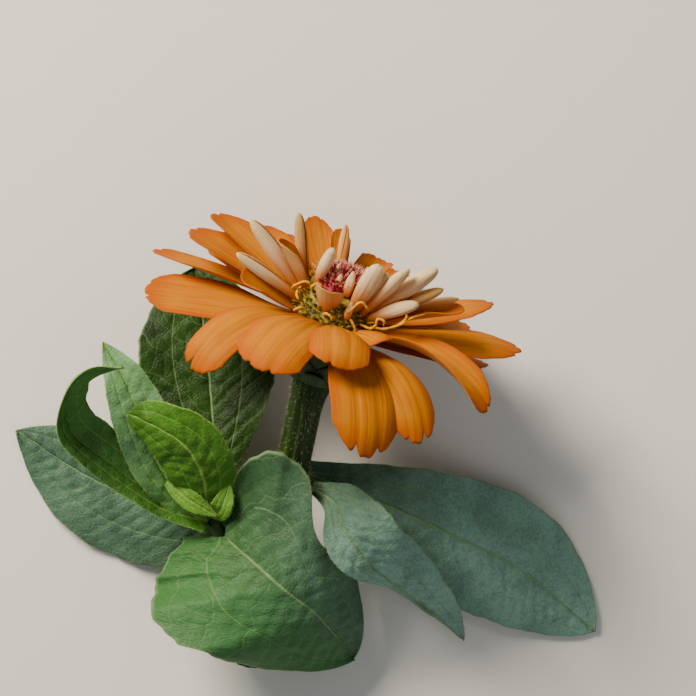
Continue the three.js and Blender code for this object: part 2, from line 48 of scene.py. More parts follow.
PICTURE_PIXELS = 696
PIXELS_PER_MM = 4.6
SENSOR_MM = 36

camera = bpy.data.objects.new("camera", bpy.data.cameras.new("camera"))
camera.data.sensor_width = SENSOR_MM
camera.data.lens = PIXELS_PER_MM * (CAMERA_HIGH - BLOOM_HIGH) * SENSOR_MM / PICTURE_PIXELS
camera.location = (MIDDLE[0] / 1000, MIDDLE[1] / 1000, CAMERA_HIGH / 1000)
camera.data.clip_start = 0.01
bpy.context.scene.collection.objects.link(camera)
bpy.context.scene.camera = camera

# ---- Stalk ----
# A herb's stem: soft white pith in a green rind with shallow ridges, thicker under the head.
# It grew in one piece, and was cut straight across with shears.
LEAN = math.radians(17)
TILT = math.radians(24)
HEAD_CENTRE = np.array([-3.7, 5.65, 33])
HEAD_UP = np.array([math.sin(LEAN) * math.cos(TILT), math.cos(LEAN) * math.cos(TILT), math.sin(TILT)])
HEAD_RIGHT = np.array([math.cos(LEAN), -math.sin(LEAN), 0])
HEAD_FRONT = np.array([-math.sin(LEAN) * math.sin(TILT), -math.cos(LEAN) * math.sin(TILT), math.cos(TILT)])
CUP_BOTTOM = -13.4
STALK_RADIUS = 3.75
STALK_NECK = 4.7
NECK_LONG = 0.14               # share of the stalk's length that thickens towards the head
FOOT_SWELL = 0.25
FOOT_LONG = 0.2                # share that swells a little towards the cut
STALK_RIDGES = 11
RIDGE_HIGH = 0.13
CUT_BEVEL = 0.35
PITH_RADIUS = 1.7
PITH_DEPTH = 1.6
STREAK_MM = 0.9                # width and length of the rind's pale streaks
STREAK_LONG_MM = 15
BLOTCH_MM = 2.86               # its dull brown blotches
PITH_CELL_MM = 0.35            # drawn coarser than life to show
STALK_STEPS = 150
STALK_SIDES = 88
SPLINE_FINE = 80               # short steps between two points of a line
STALK_HAIRS = 1500
HAIR_LONG = (0.5, 1.1)
HAIR_THICK = 0.045
HAIR_TURNS = (0, 2.1, 4.2)     # its three corners, in radians round its length
HAIR_ROOTED = 0.08
HAIR_SPREAD = 0.28             # how unevenly the hairs stand
HAIR_SLANT = 0.35              # how far they lean along the piece that bears them
HAIR_CLEAR = 1.2               # none lower than this, where the stalk lies on the surface


def on_head(places):
    """Layout places of points (right, front, up) that are given from the middle of the bloom."""
    return HEAD_CENTRE + np.asarray(places, float) @ np.array([HEAD_RIGHT, HEAD_FRONT, HEAD_UP])


def full_turn(sides):
    """The directions of some sides, evenly round a full turn."""
    return np.arange(sides) * 2 * math.pi / sides


def spline(points, shares):
    """Places and directions at shares of the length of a smooth line through some points."""
    points = np.asarray(points, float)
    held = np.vstack([2 * points[0] - points[1], points, 2 * points[-1] - points[-2]])
    t = np.linspace(0, len(points) - 1, SPLINE_FINE * (len(points) - 1) + 1)
    k = np.minimum(t.astype(int), len(points) - 2)
    w = (t - k)[:, None]
    a, b, c, d = held[k], held[k + 1], held[k + 2], held[k + 3]
    fine = b + 0.5 * w * (c - a + w * (2 * a - 5 * b + 4 * c - d + w * (3 * (b - c) + d - a)))
    run = np.concatenate([[0], np.cumsum(np.linalg.norm(np.diff(fine, axis=0), axis=1))])
    towards = np.gradient(fine, run, axis=0)
    at = np.asarray(shares) * run[-1]
    place = np.stack([np.interp(at, run, fine[:, i]) for i in range(3)], axis=-1)
    along = np.stack([np.interp(at, run, towards[:, i]) for i in range(3)], axis=-1)
    return place, along / np.linalg.norm(along, axis=-1, keepdims=True), run[-1]


def closed(points, rings, sides, notes):
    """A body through rings of points whose first and last have no width, its faces turned outwards."""
    i, j = np.meshgrid(np.arange(rings - 1), np.arange(sides), indexing="ij")
    after = (j + 1) % sides
    corners = [i * sides + j, (i + 1) * sides + j, (i + 1) * sides + after, i * sides + after]
    faces = np.stack(corners, axis=-1).reshape(-1, 4)
    return {"points": points, "faces": outwards_faces(points, faces), **notes}


def outwards_faces(points, faces):
    """Four-cornered faces, turned round if they close in less than no volume."""
    a, b, c, d = (points[faces[:, i]] for i in range(4))
    volume = np.einsum("ij,ij->i", a, np.cross(b, c)) + np.einsum("ij,ij->i", a, np.cross(c, d))
    return faces if volume.sum() > 0 else faces[:, ::-1]


def tube(places, along, radius, notes):
    """A closed rod. radius is for each step and side."""
    sides = radius.shape[1]
    turn = full_turn(sides)
    side = np.cross(along, [0, 0, 1])
    side /= np.linalg.norm(side, axis=1, keepdims=True)
    over = np.cross(side, along)
    out = side[:, None] * np.cos(turn)[None, :, None] + over[:, None] * np.sin(turn)[None, :, None]
    points = (places[:, None] + out * radius[..., None]).reshape(-1, 3)
    return closed(points, len(places), sides, notes)


def noted(**notes):
    """Notes for a body's points, each of three values for every point, for a row or for all of them."""
    return {key: np.stack(np.broadcast_arrays(*values), -1).reshape(-1, 3) for key, values in notes.items()}


def joined(parts):
    """Several closed bodies as one, with their notes."""
    starts = np.cumsum([0] + [len(part["points"]) for part in parts[:-1]])
    whole = {key: np.concatenate([part[key] for part in parts]) for key in parts[0] if key != "faces"}
    whole["faces"] = np.concatenate([part["faces"] + start for part, start in zip(parts, starts)])
    return whole


def add_piece(name, body, materials, slot, *nodes, marks=None):
    """A mesh piece from a body in layout millimetres. Its notes become vectors that materials read."""
    mesh = bpy.data.meshes.new(name)
    points = (body["points"] + MIDDLE) / 1000
    points[:, 2] = np.maximum(points[:, 2], 0)
    mesh.from_pydata(points.tolist(), [], body["faces"].tolist())
    for key in set(body) - {"points", "faces"}:
        vectors = mesh.attributes.new(key, "FLOAT_VECTOR", "POINT")
        vectors.data.foreach_set("vector", np.ascontiguousarray(body[key], np.float32).ravel())
    for material in materials:
        mesh.materials.append(material)
    if marks is not None:
        mesh.polygons.foreach_set("material_index", marks.astype(np.int32))
    mesh.validate()
    mesh.shade_smooth()
    piece = bpy.data.objects.new(name, mesh)
    bpy.context.scene.collection.objects.link(piece)
    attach(piece, "root")
    if nodes:
        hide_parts(*nodes)


def linear(code):
    """An sRGB hex colour as linear red, green, blue and alpha."""
    shares = [int(code[i:i + 2], 16) / 255 for i in (1, 3, 5)]
    return [c / 12.92 if c < 0.04045 else ((c + 0.055) / 1.055) ** 2.4 for c in shares] + [1]


def add(tree, kind, values):
    """Adds a shader node. values are its settings, and its sockets by name or number: a socket is
    linked, a hex string is a colour, and "stops" are a ramp's places and colours. A MapRange's numbers
    are 0 its value, 1 and 2 the value's range, and 3 and 4 what comes out at the two ends of it."""
    node = tree.nodes.new("ShaderNode" + kind)
    for key, value in values.items():
        if key == "stops":
            elements = node.color_ramp.elements
            while len(elements) < len(value):
                elements.new(0.5)
            for element, (place, code) in zip(elements, value):
                element.position = place
                element.color = linear(code)
        elif isinstance(key, str) and hasattr(node, key):
            setattr(node, key, value)
        elif isinstance(value, bpy.types.NodeSocket):
            tree.links.new(value, node.inputs[key])
        else:
            node.inputs[key].default_value = linear(value) if isinstance(value, str) else value
    return node.outputs


def new_material(name, *notes):
    """A material with no nodes yet, its tree, and the vectors of the body's notes that it reads."""
    material = bpy.data.materials.new(name)
    material.use_nodes = True
    tree = material.node_tree
    tree.nodes.clear()
    return material, tree, *(add(tree, "Attribute", {"attribute_name": note})["Vector"] for note in notes)


def coated(tree, colour, *coats):
    """A colour under coats of others. A coat has its colour, and then either the share of it that
    shows, or a value, the value's range, and the shares that show at the two ends of that range."""
    for tint, much, *spread in coats:
        if spread:
            start, end, first, last = spread
            much = add(tree, "MapRange", {0: much, 1: start, 2: end, 3: first, 4: last})[0]
        colour = add(tree, "Mix", {"data_type": "RGBA", 0: much, 6: colour, 7: tint})[2]
    return colour


def rind_material():
    """Green rind: satin, with paler lengthwise streaks, so it reads as a ribbed living stem."""
    material, tree, grain = new_material("stem_rind", "grain")
    stretch = (1, STREAK_MM / STREAK_LONG_MM, 1)
    drawn = add(tree, "VectorMath", {"operation": "MULTIPLY", 0: grain, 1: stretch})[0]
    streaks = add(tree, "TexNoise", {"Vector": drawn, "Scale": 1 / STREAK_MM, "Detail": 3.0})[0]
    blotches = add(tree, "TexNoise", {"Vector": grain, "Scale": 1 / BLOTCH_MM, "Detail": 4.0})[0]
    stops = ((0.3, "#16260B"), (0.62, "#2B4415"), (0.8, "#4A6424"))
    green = add(tree, "ValToRGB", {0: streaks, "stops": stops})[0]
    colour = coated(tree, green, ("#43301A", blotches, 0.5, 0.85, 0.0, 0.5))
    relief = add(tree, "Bump", {"Height": streaks, "Distance": 0.0002})[0]
    skin = add(tree, "BsdfPrincipled", {
        "Base Color": colour, "Roughness": 0.55, "IOR": 1.42, "Specular IOR Level": 0.3, "Normal": relief})
    add(tree, "OutputMaterial", {0: skin[0]})
    return material


def pith_material():
    """Pith: dry foam of dead cells, nearly white and dull, greener where it meets the rind."""
    material, tree, grain = new_material("stem_pith", "grain")
    cells = add(tree, "TexVoronoi", {"Vector": grain, "Scale": 1 / PITH_CELL_MM})[0]
    colour = add(tree, "ValToRGB", {0: cells, "stops": ((0.1, "#B7C58A"), (0.5, "#DDE2BE"))})[0]
    relief = add(tree, "Bump", {"Height": cells, "Distance": 0.0001})[0]
    foam = add(tree, "BsdfPrincipled", {"Base Color": colour, "Roughness": 0.85, "Normal": relief})
    add(tree, "OutputMaterial", {0: foam[0]})
    return material


def hair_material():
    """Plant hair: a clear hollow cell, seen as a thin pale line."""
    material, tree = new_material("plant_hair")
    cell = add(tree, "BsdfPrincipled", {"Base Color": "#AEBD8C", "Roughness": 0.4})
    add(tree, "OutputMaterial", {0: cell[0]})
    return material


def hairs(roots, lengths, rng, outwards, thick=HAIR_THICK):
    """Stiff tapering hairs, each a closed spike of four faces, at roots along outward directions."""
    count = len(roots)
    out = outwards + rng.normal(0, HAIR_SPREAD, (count, 3))
    out /= np.linalg.norm(out, axis=1, keepdims=True)
    side = np.cross(out, rng.normal(0, 1, (count, 3)))
    side /= np.linalg.norm(side, axis=1, keepdims=True)
    over = np.cross(out, side)
    foot = roots - HAIR_ROOTED * out
    ring = [foot + thick * (side * math.cos(turn) + over * math.sin(turn)) for turn in HAIR_TURNS]
    points = np.stack([*ring, roots + out * lengths[:, None]], axis=1).reshape(-1, 3)
    pattern = np.array([[0, 2, 1], [0, 1, 3], [1, 2, 3], [2, 0, 3]])
    return {"points": points, "faces": (np.arange(count)[:, None, None] * 4 + pattern).reshape(-1, 3)}


stalk_line = [*on_head([[0, 0, CUP_BOTTOM - 0.3], [0, 0, -22]]), [-14, -34, 16.4], [-19, -51.5, 9.7],
              [-22.4, -71, 3.4]]
shares = np.linspace(0, 1, STALK_STEPS)
turns = full_turn(STALK_SIDES)
places, along, stalk_long = spline(stalk_line, shares)
neck = (STALK_NECK - STALK_RADIUS) * np.maximum(0, 1 - shares / NECK_LONG) ** 2
thick = STALK_RADIUS + neck + FOOT_SWELL * np.maximum(0, 1 - (1 - shares) / FOOT_LONG)
winding = 1.6 * shares + np.sin(9 * shares)
ridge = RIDGE_HIGH * np.cos(STALK_RIDGES * turns + winding[:, None])
# the cut face: from the bevelled rim across the rind, down into the shrunken pith, and closed
end_radii = [thick[-1] - CUT_BEVEL, PITH_RADIUS + 0.1, PITH_RADIUS - 0.15, PITH_RADIUS * 0.5, 0]
end_depths = [0, 0, PITH_DEPTH, PITH_DEPTH * 1.1, PITH_DEPTH * 1.1]
places = np.vstack([places[:1], places, [places[-1] - along[-1] * deep for deep in end_depths]])
along = np.vstack([along[:1], along, [along[-1]] * len(end_radii)])
radius = np.vstack([np.zeros((1, STALK_SIDES)), thick[:, None] + ridge - RIDGE_HIGH,
                    np.repeat(np.array(end_radii)[:, None], STALK_SIDES, axis=1)])
run = np.concatenate([[0], shares, [1] * len(end_radii)]) * stalk_long
stem = tube(places, along, radius, noted(grain=(turns * STALK_RADIUS, run[:, None], radius)))
is_pith = np.repeat(np.arange(len(places) - 1) >= STALK_STEPS + 1, STALK_SIDES)
hair = hair_material()
rind = rind_material()
add_piece("stalk_rind_and_pith", stem, [rind, pith_material()], "stem_green", "stalk", marks=is_pith)

rng = np.random.default_rng(7)
rows = rng.integers(4, STALK_STEPS - 3, STALK_HAIRS)
picked = rows * STALK_SIDES + rng.integers(0, STALK_SIDES, STALK_HAIRS)
roots = stem["points"][picked]
axis = np.repeat(places, STALK_SIDES, axis=0)[picked]
outwards = (roots - axis) / np.linalg.norm(roots - axis, axis=1, keepdims=True)
outwards = outwards + np.repeat(along, STALK_SIDES, axis=0)[picked] * HAIR_SLANT
kept = roots[:, 2] > HAIR_CLEAR
stalk_hair = hairs(roots[kept], rng.uniform(*HAIR_LONG, kept.sum()), rng, outwards[kept])
add_piece("stalk_hairs", stalk_hair, [hair], "stem_green")

# ---- Involucre ----
# The green cup under the petals: rows of stiff round-tipped bracts that overlap like tiles,
# grown round the head's underside, each with a dark papery margin.
CUP_TOP = -3.4
CUP_PROFILE = np.array([[4.6, CUP_BOTTOM], [6.9, -12], [8.4, -9], [8.8, -6], [8.5, CUP_TOP]])
CUP_INSET = 0.1                # the cup's own wall lies this far inside its bracts
CUP_SIDES = 64
BRACT_ROWS = [(8, -8.6, 1.3), (8, -5.8, 0.9), (8, -3.2, 0.5)]     # count, tip level, raised
BRACT_GRID = (17, 20)          # columns and steps
BRACT_HALF = 3.4
BRACT_LAP = 0.56               # half a bract's width, as a share of its place in the ring
BRACT_ROUND = 2.6
BRACT_FLARE = 0.28
BRACT_RIB = 0.12
BRACT_THICK = 0.45
BRACT_NERVE_MM = 0.5           # width and length of its fine nerves
BRACT_NERVE_LONG_MM = 6.25


def shell(middle, upper, thick, notes):
    """A thin closed blade on a grid of middle points, its edges joined all round. Its note "place"
    is given a last value of 1 on the face towards 'upper', and of -1 on the other."""
    cross = np.cross(np.gradient(middle, axis=0), np.gradient(middle, axis=1))
    normal = cross / np.maximum(np.linalg.norm(cross, axis=-1, keepdims=True), 1e-9)
    rows, columns = middle.shape[:2]
    half = normal * np.asarray(thick)[..., None] / 2
    points = np.concatenate([(middle + half).reshape(-1, 3), (middle - half).reshape(-1, 3)])
    i, j = np.meshgrid(np.arange(rows - 1), np.arange(columns - 1), indexing="ij")
    a = (i * columns + j).ravel()
    top = np.stack([a, a + 1, a + columns + 1, a + columns], axis=1)
    lower = rows * columns
    first = np.arange(columns)
    down = np.arange(1, rows) * columns
    rim = np.concatenate([first, down + columns - 1, (first + (rows - 1) * columns)[-2::-1], down[-2::-1]])
    after = np.roll(rim, -1)
    edge = np.stack([rim, rim + lower, after + lower, after], axis=1)
    faces = np.concatenate([top, top[:, ::-1] + lower, edge])
    body = {"points": points, "faces": outwards_faces(points, faces)}
    for key, values in notes.items():
        body[key] = np.concatenate([values, values])
    faces_up = 1 if np.einsum("ijk,ijk->", normal, np.broadcast_to(upper, normal.shape)) > 0 else -1
    body["place"][:lower, 2] = faces_up
    body["place"][lower:, 2] = -faces_up
    return body


def bract_material():
    """Bract: leathery green with fine nerves, dark and papery along its margin."""
    material, tree, grain, place = new_material("involucre_bract", "grain", "place")
    across, share = add(tree, "SeparateXYZ", {0: place})[:2]
    stretch = (1, BRACT_NERVE_MM / BRACT_NERVE_LONG_MM, 1)
    drawn = add(tree, "VectorMath", {"operation": "MULTIPLY", 0: grain, 1: stretch})[0]
    nerves = add(tree, "TexNoise", {"Vector": drawn, "Scale": 1 / BRACT_NERVE_MM, "Detail": 2.0})[0]
    green = add(tree, "ValToRGB", {0: nerves, "stops": ((0.35, "#20360F"), (0.7, "#3A5A1E"))})[0]
    to_side = add(tree, "Math", {"operation": "ABSOLUTE", 0: across})[0]
    side_rim = add(tree, "MapRange", {"interpolation_type": "SMOOTHSTEP", 0: to_side, 1: 0.8, 2: 0.97})[0]
    tip_rim = add(tree, "MapRange", {"interpolation_type": "SMOOTHSTEP", 0: share, 1: 0.86, 2: 0.97})[0]
    rim = add(tree, "Math", {"operation": "MAXIMUM", 0: side_rim, 1: tip_rim})[0]
    colour = coated(tree, green, ("#10180A", rim))
    relief = add(tree, "Bump", {"Height": nerves, "Distance": 0.00012})[0]
    skin = add(tree, "BsdfPrincipled", {"Base Color": colour, "Roughness": 0.5, "Normal": relief})
    add(tree, "OutputMaterial", {0: skin[0]})
    return material


def bract(count, high, raised, index, row):
    """One bract of the cup, wider than its share so that it laps over its neighbours."""
    across, share = np.meshgrid(np.linspace(-1, 1, BRACT_GRID[0]), np.linspace(0, 1, BRACT_GRID[1]))
    foot = CUP_BOTTOM + CUP_INSET
    level = foot + (high - BRACT_ROUND * across ** 2 - foot) * share
    turn = (index + row / 2 + across * BRACT_LAP) * 2 * math.pi / count
    lift = raised * (1 - 0.5 * across ** 2) * np.minimum(1, (level - CUP_BOTTOM) / 1.5)
    out = np.interp(level, CUP_PROFILE[:, 1], CUP_PROFILE[:, 0]) + lift + 0.02 * (index % 3)
    out += BRACT_FLARE * share ** 6 - BRACT_RIB * np.cos(across * math.pi * 3) * share
    middle = on_head(np.stack([out * np.sin(turn), out * np.cos(turn), level], axis=-1))
    notes = noted(grain=(across * BRACT_HALF, level, row * 9.0 + index), place=(across, share, 0))
    outer = middle - HEAD_CENTRE - (middle - HEAD_CENTRE).dot(HEAD_UP)[..., None] * HEAD_UP
    return shell(middle, outer, np.full_like(level, BRACT_THICK), notes)


def turned(profile, sides):
    """A body turned about the bloom's axis from (radius, level) points that end on the axis."""
    profile = np.asarray(profile, float)
    turn = full_turn(sides)
    level = np.repeat(profile[:, 1:], sides, axis=1)
    radius = np.repeat(profile[:, :1], sides, axis=1)
    notes = noted(grain=(radius * np.sin(turn), radius * np.cos(turn), level), place=(0 * radius, 0.5, 1))
    return closed(on_head(notes["grain"]), len(profile), sides, notes)


cup = turned([[0, CUP_BOTTOM], *CUP_PROFILE - [CUP_INSET, 0], [0, CUP_TOP]], CUP_SIDES)
bracts = [bract(count, high, raised, index, row)
          for row, (count, high, raised) in enumerate(BRACT_ROWS) for index in range(count)]
add_piece("involucre_bracts", joined([cup, *bracts]), [bract_material()], "stem_green", "involucre")

# ---- Ray petals ----
# Ray florets: limp orange straps with lengthwise pleats and a notched tip, each with a claw
# sunk in the domed receptacle. The outer ones are open and the young ones still rolled up.
HEAD_RADIUS = 9
HEAD_CURVE = 15                # how high the dome would be if it closed at the top
HEAD_FLARE = 36                # how far below its widest level the foot would come to a point
CORE_LEVELS = (-3.1, 8.6)
CORE_RINGS = 14
CORE_SIDES = 72
CORE_INSET = 0.6
CORE_PIT_MM = 1.1
ROOT_DEPTH = 1.5
CLAW = 0.26                    # the claw's width, as a share of the blade's
CLAW_LONG = 0.12
CLAW_THICK = 0.5               # what its foot is thicker by
FULL_AT = 0.62                 # shares of a petal's length at which its width, roll and pleats are full
ROLLED_AT = 0.4
PLEATED_AT = 0.3
TIP_ROUND = 2.4
TIP_FRILL = 0.004
NOTCH_AT = 0.3
NOTCH_WIDE = 0.07
PETAL_GRID = (33, 48)          # columns and steps
PETAL_FINE = 160               # steps of a petal's middle line
PETAL_THICK = 0.34
PLEAT_DEEP = 0.24              # the two folds that end in the notches, on a petal of PLEATED_WIDE
PLEATED_WIDE = 14
PLEAT_WIDE = 0.12
MIDDLE_PLEAT_WIDE = 0.07
VEIN_HIGH = 0.022
RIPPLE_HIGH = 0.4              # short waves of the margins
WAVER_HIGH = 0.3               # slow waves of the whole blade
ROLL_GRID = (36, 44)
ROLL_HALF = math.radians(176)  # how far each margin is rolled round
ROLL_INSET = 0.1               # how far its wall's middle lies inside its listed thickness
ROLL_THINNEST = 0.1
SHOULDER = 0.6                 # share of a rolled petal's length at which it starts to close
PETAL_STREAK_MM = 0.45         # width and length of the streaks
PETAL_STREAK_LONG_MM = 12.86
PETAL_CLOUD_MM = 9             # soft patches of a sunnier orange
PETAL_FLECK_MM = 0.9           # brown flecks
PETAL_BODY = "#CB7A00"
PETAL_LIGHT = "#D38B04"
PETAL_DEEP = "#BE6200"
PETAL_EDGE = "#B84E00"
PETAL_ROOT = "#B06A08"
PETAL_FLECK = "#8A4306"
YOUNG_CREAM = "#FADDB0"
YOUNG_PINK = "#F0A058"
YOUNG_GREEN = "#C4C072"
# azimuth, level, length, width, rise, droop, roll, cup, and then, where they aren't the usual ones,
# yaw, bluntness, left and right notch
PETAL_USUAL = (0, 0.2, 0.02, 0.02)
OUTER_PETALS = [
    (-92, -1, 34.2, 12.8, -6, 5, -18, -8, 0, 0.16, 0.01, 0.03),
    (-45, 1.8, 34, 10.5, 14, 90, -8, -22, 4, 0.12, 0.07, 0),
    (-20, 2, 29, 16, 22, 76, -2, -26, 0, 0.14, 0.03, 0.03),
    (9, 2.4, 23.5, 13.5, 26, 62, 0, -22, 0, 0.16, 0.04, 0),
    (24, -0.8, 36, 16.5, 14, 96, -2, -24, 2, 0.22, 0.06, 0.06),
    (44, -1, 34, 12, 16, 82, 18, -50, -4, 0.2, 0.03, 0.07),
    (62, 0, 37, 12, 24, 66, -8, 44, -4, 0.24),
    (94, 0, 34.5, 12, 14, 14, 4, -16, 0, 0.26, 0.04, 0.02),
    (113, 1, 29.5, 10.5, 19, 4, -4, -20, 0, 0.24),
    (-104, 1, 36, 12, -3, -2, 12, 24, 0, 0.26),
]
BACK_PETALS = [
    (128, -1, 30, 13, 2, 4, 0, -14),
    (144, -1.8, 31, 13, 2, 4, 0, -14),
    (161, -0.4, 31.3, 13, 4, 2, 0, -12),
    (179, -1.8, 28.6, 13, 4, 2, 0, -10),
    (-161, -0.4, 31, 13, 3.6, 2, 0, -12),
    (-143, -1.8, 30, 13, 5, 4, 0, -14),
    (-125, 0, 31, 13, 6, 4, 0, -14),
]
MIDDLE_PETALS = [
    (103, -1, 26, 12, 10, 6, 0, -14),
    (98, -2, 29, 12, 5, 8, -10, -14),
    (-103, 2, 29.5, 11.5, 12, 4, -4, 26, 0, 0.24),
    (-110, 3, 28, 10, 18, 2, -4, 40, 0, 0.24),
    (-66, 1, 17, 11, 26, 4, -6, 34),
    (-153, 1, 26, 7.5, 9, 1, 0, 10),
    (-160, 3, 24.5, 7.5, 20, 2, 0, 10),
    (-171, 2, 25, 6.5, 11, 1, 0, 8),
    (166, 3, 21, 9, 10, 1, 0, 60),
    (150, 0, 24, 10, 6, 2, 0, 20),
    (132, 0, 25, 10, 6, 2, 0, 20),
    (-136, 2, 25, 10, 14, 2, 0, 20),
    (76, 2, 23.5, 9, 34, 6, 0, 40),
    (40, 2, 13, 8, 30, 30, 10, -60),
]
HALF_OPEN_PETALS = [
    (-170, 4.5, 18, 5, 26, 1, 0, 40),
    (-14, 4, 9, 8, 60, 2, 0, 70),
    (-74, 5, 15, 8.5, 52, 4, 0, 80, 0, 0.3),
]
# azimuth, level, length, thickness, rise, droop
ROLLED_PALE = [
    (-86, 4, 21, 3.4, 45, 8), (-75, 3.5, 19, 2.8, 26, 1), (-60, 7.3, 10.6, 2.7, 98, -4),
    (34, 6.5, 14.5, 4.2, 70, 4), (46, 6, 13.5, 2.3, 68, 4), (49, 5, 19.5, 2.7, 61, 4),
    (63, 4.5, 23, 3.6, 55, 4), (60, 4, 16, 3.1, 42, 6),
]
ROLLED_ORANGE = [
    (-100, 4, 18.5, 2.8, 70, 1), (-171, 6, 16, 2.2, 34, 1), (69, 3.5, 21.3, 2.7, 46, 4),
    (80, 3, 22, 2.3, 38, 6),
]


def hump(off, wide):
    """A rounded hump, 1 at its top, that falls away over about this width."""
    return np.exp(-(off / wide) ** 2)


def head_radius(level):
    """The receptacle's radius: a dome above the cup, a little narrower towards its foot."""
    return HEAD_RADIUS * (1 + level / HEAD_FLARE if level < 0 else math.sqrt(1 - (level / HEAD_CURVE) ** 2))


def petal_line(azimuth, level, long, rise, droop, yaw):
    """The middle line of a petal from the middle of the bloom, with its side and upper directions."""
    at = np.arange(PETAL_FINE + 1) / PETAL_FINE
    climb = np.radians(rise - droop * at ** 1.6)
    heading = np.radians(azimuth + yaw * at)
    along = np.stack([np.cos(climb) * np.sin(heading), np.cos(climb) * np.cos(heading), np.sin(climb)], -1)
    side = np.stack([np.cos(heading), -np.sin(heading), 0 * at], -1)
    ring = head_radius(level) - ROOT_DEPTH
    root = [ring * math.sin(math.radians(azimuth)), ring * math.cos(math.radians(azimuth)), level]
    line = np.vstack([[root], root + np.cumsum(along[:-1], axis=0) * long / PETAL_FINE])
    return line, side, np.cross(side, along)


def rolled(side, over, turn):
    """Side and upper directions, rolled about the line that they belong to."""
    return side * np.cos(turn) + over * np.sin(turn), over * np.cos(turn) - side * np.sin(turn)


def petal(shape, rng, pleats):
    """One ray floret: it rises and droops, is rolled about its length and cupped, with a notched tip."""
    whole_shape = shape + PETAL_USUAL[len(shape) - 8:]
    azimuth, level, long, wide, rise, droop, roll, cup, yaw, blunt, left, right = whole_shape
    line, side, over = petal_line(azimuth, level, long, rise, droop, yaw)
    even = np.linspace(-1, 1, PETAL_GRID[0])
    x = 0.4 * np.sin(even * math.pi / 2) + 0.6 * even
    notches = left * hump(x + NOTCH_AT, NOTCH_WIDE) + right * hump(x - NOTCH_AT, NOTCH_WIDE)
    frill = TIP_FRILL * np.cos(x * rng.uniform(20, 30) + rng.uniform(0, 6))
    depth = blunt * np.abs(x) ** TIP_ROUND + notches + frill
    share = np.linspace(0, 1, PETAL_GRID[1])[:, None] * (1 - depth)
    k = np.clip((share * PETAL_FINE).astype(int), 0, PETAL_FINE - 1)
    part = (share * PETAL_FINE - k)[..., None]
    middle = line[k] * (1 - part) + line[k + 1] * part
    turn = np.radians(roll) * np.minimum(1, share / ROLLED_AT)[..., None]
    sideways, outwards = rolled(side[k], over[k], turn)
    half = wide / 2 * (CLAW + (1 - CLAW) * np.sin(math.pi / 2 * np.minimum(1, share / FULL_AT)) ** 1.3)
    bend = math.radians(cup)
    angle = (bend * x)[:, None]
    bow = (half / bend)[..., None]
    middle = middle + sideways * bow * np.sin(angle) + outwards * bow * (1 - np.cos(angle))
    normal = outwards * np.cos(angle) - sideways * np.sin(angle)

    grown = np.minimum(1, share / PLEATED_AT)
    folds = hump(x + NOTCH_AT, PLEAT_WIDE) + hump(x - NOTCH_AT, PLEAT_WIDE)
    folds = -PLEAT_DEEP * pleats * (wide / PLEATED_WIDE) * grown * (folds + 0.5 * hump(x, MIDDLE_PLEAT_WIDE))
    veins = VEIN_HIGH * grown * np.cos(x * 30 + rng.uniform(0, 6))
    ripple = RIPPLE_HIGH * pleats * x ** 4 * share * np.sin(share * rng.uniform(7, 11) + rng.uniform(0, 6))
    waver = WAVER_HIGH * pleats * share * np.sin(share * 5 + x * 2.4 + rng.uniform(0, 6))
    middle = middle + normal * (folds + veins + ripple + waver)[..., None]
    thick = PETAL_THICK * (1 - 0.55 * np.abs(x) ** 6) * (1 - 0.5 * share ** 8)
    thick = thick + CLAW_THICK * np.maximum(0, CLAW_LONG - share) / CLAW_LONG
    notes = noted(grain=(x * half, share * long, rng.uniform(0, 90)), place=(x, share / (1 - depth), 0))
    upper = on_head(middle + normal) - on_head(middle)
    return shell(on_head(middle), upper, thick, notes)


def rolled_petal(shape, rng):
    """A young ray floret, rolled lengthwise into a plump finger whose one margin tucks under the
    other on the upper side. Its under face is outside."""
    azimuth, level, long, round_mm, rise, droop = shape
    line, side, over = petal_line(azimuth, level, long, rise, droop, 0)
    share = np.linspace(0, 1, ROLL_GRID[1])[:, None]
    k = (share[:, 0] * PETAL_FINE).astype(int)
    swell = 1 - 0.55 * np.maximum(0, 1 - share / SHOULDER) ** 1.6
    closed_by = (np.maximum(0, share - SHOULDER) / (1 - SHOULDER)) ** 2.6
    closing = np.sqrt(1 - np.minimum(0.985, closed_by))
    x = np.linspace(-1, 1, ROLL_GRID[0])
    angle = x * ROLL_HALF + 0.35 * np.sin(share * 3 + rng.uniform(0, 6))
    creases = 0.05 * np.cos(angle * 4 + rng.uniform(0, 6)) * share + 0.025 * np.cos(angle * 11 + share * 5)
    tucked = 1 - 0.22 * np.maximum(0, x) ** 4
    radius = round_mm / 2 * swell * closing * (1 + creases) * tucked - ROLL_INSET
    radius = np.maximum(radius, ROLL_THINNEST)
    sideways = side[k][:, None] * np.sin(angle)[..., None]
    downwards = over[k][:, None] * np.cos(angle)[..., None]
    inner = line[k][:, None] + (sideways - downwards) * radius[..., None]
    middle = on_head(inner)
    notes = noted(grain=(angle * radius, share * long, rng.uniform(0, 90)), place=(x, share, 0))
    inwards = on_head(inner - sideways + downwards) - middle
    return shell(middle, inwards, np.minimum(0.3, radius * 0.5), notes)


def thin_blade(tree, colour, through, skin, relief):
    """Ends the material of a thin living blade: its skin, and the share of light that comes through."""
    surface = add(tree, "BsdfPrincipled", {"Base Color": colour, **skin, **relief})
    glow = add(tree, "BsdfTranslucent", {"Color": colour, **relief})
    mixed = add(tree, "MixShader", {0: through, 1: surface[0], 2: glow[0]})
    add(tree, "OutputMaterial", {0: mixed[0]})


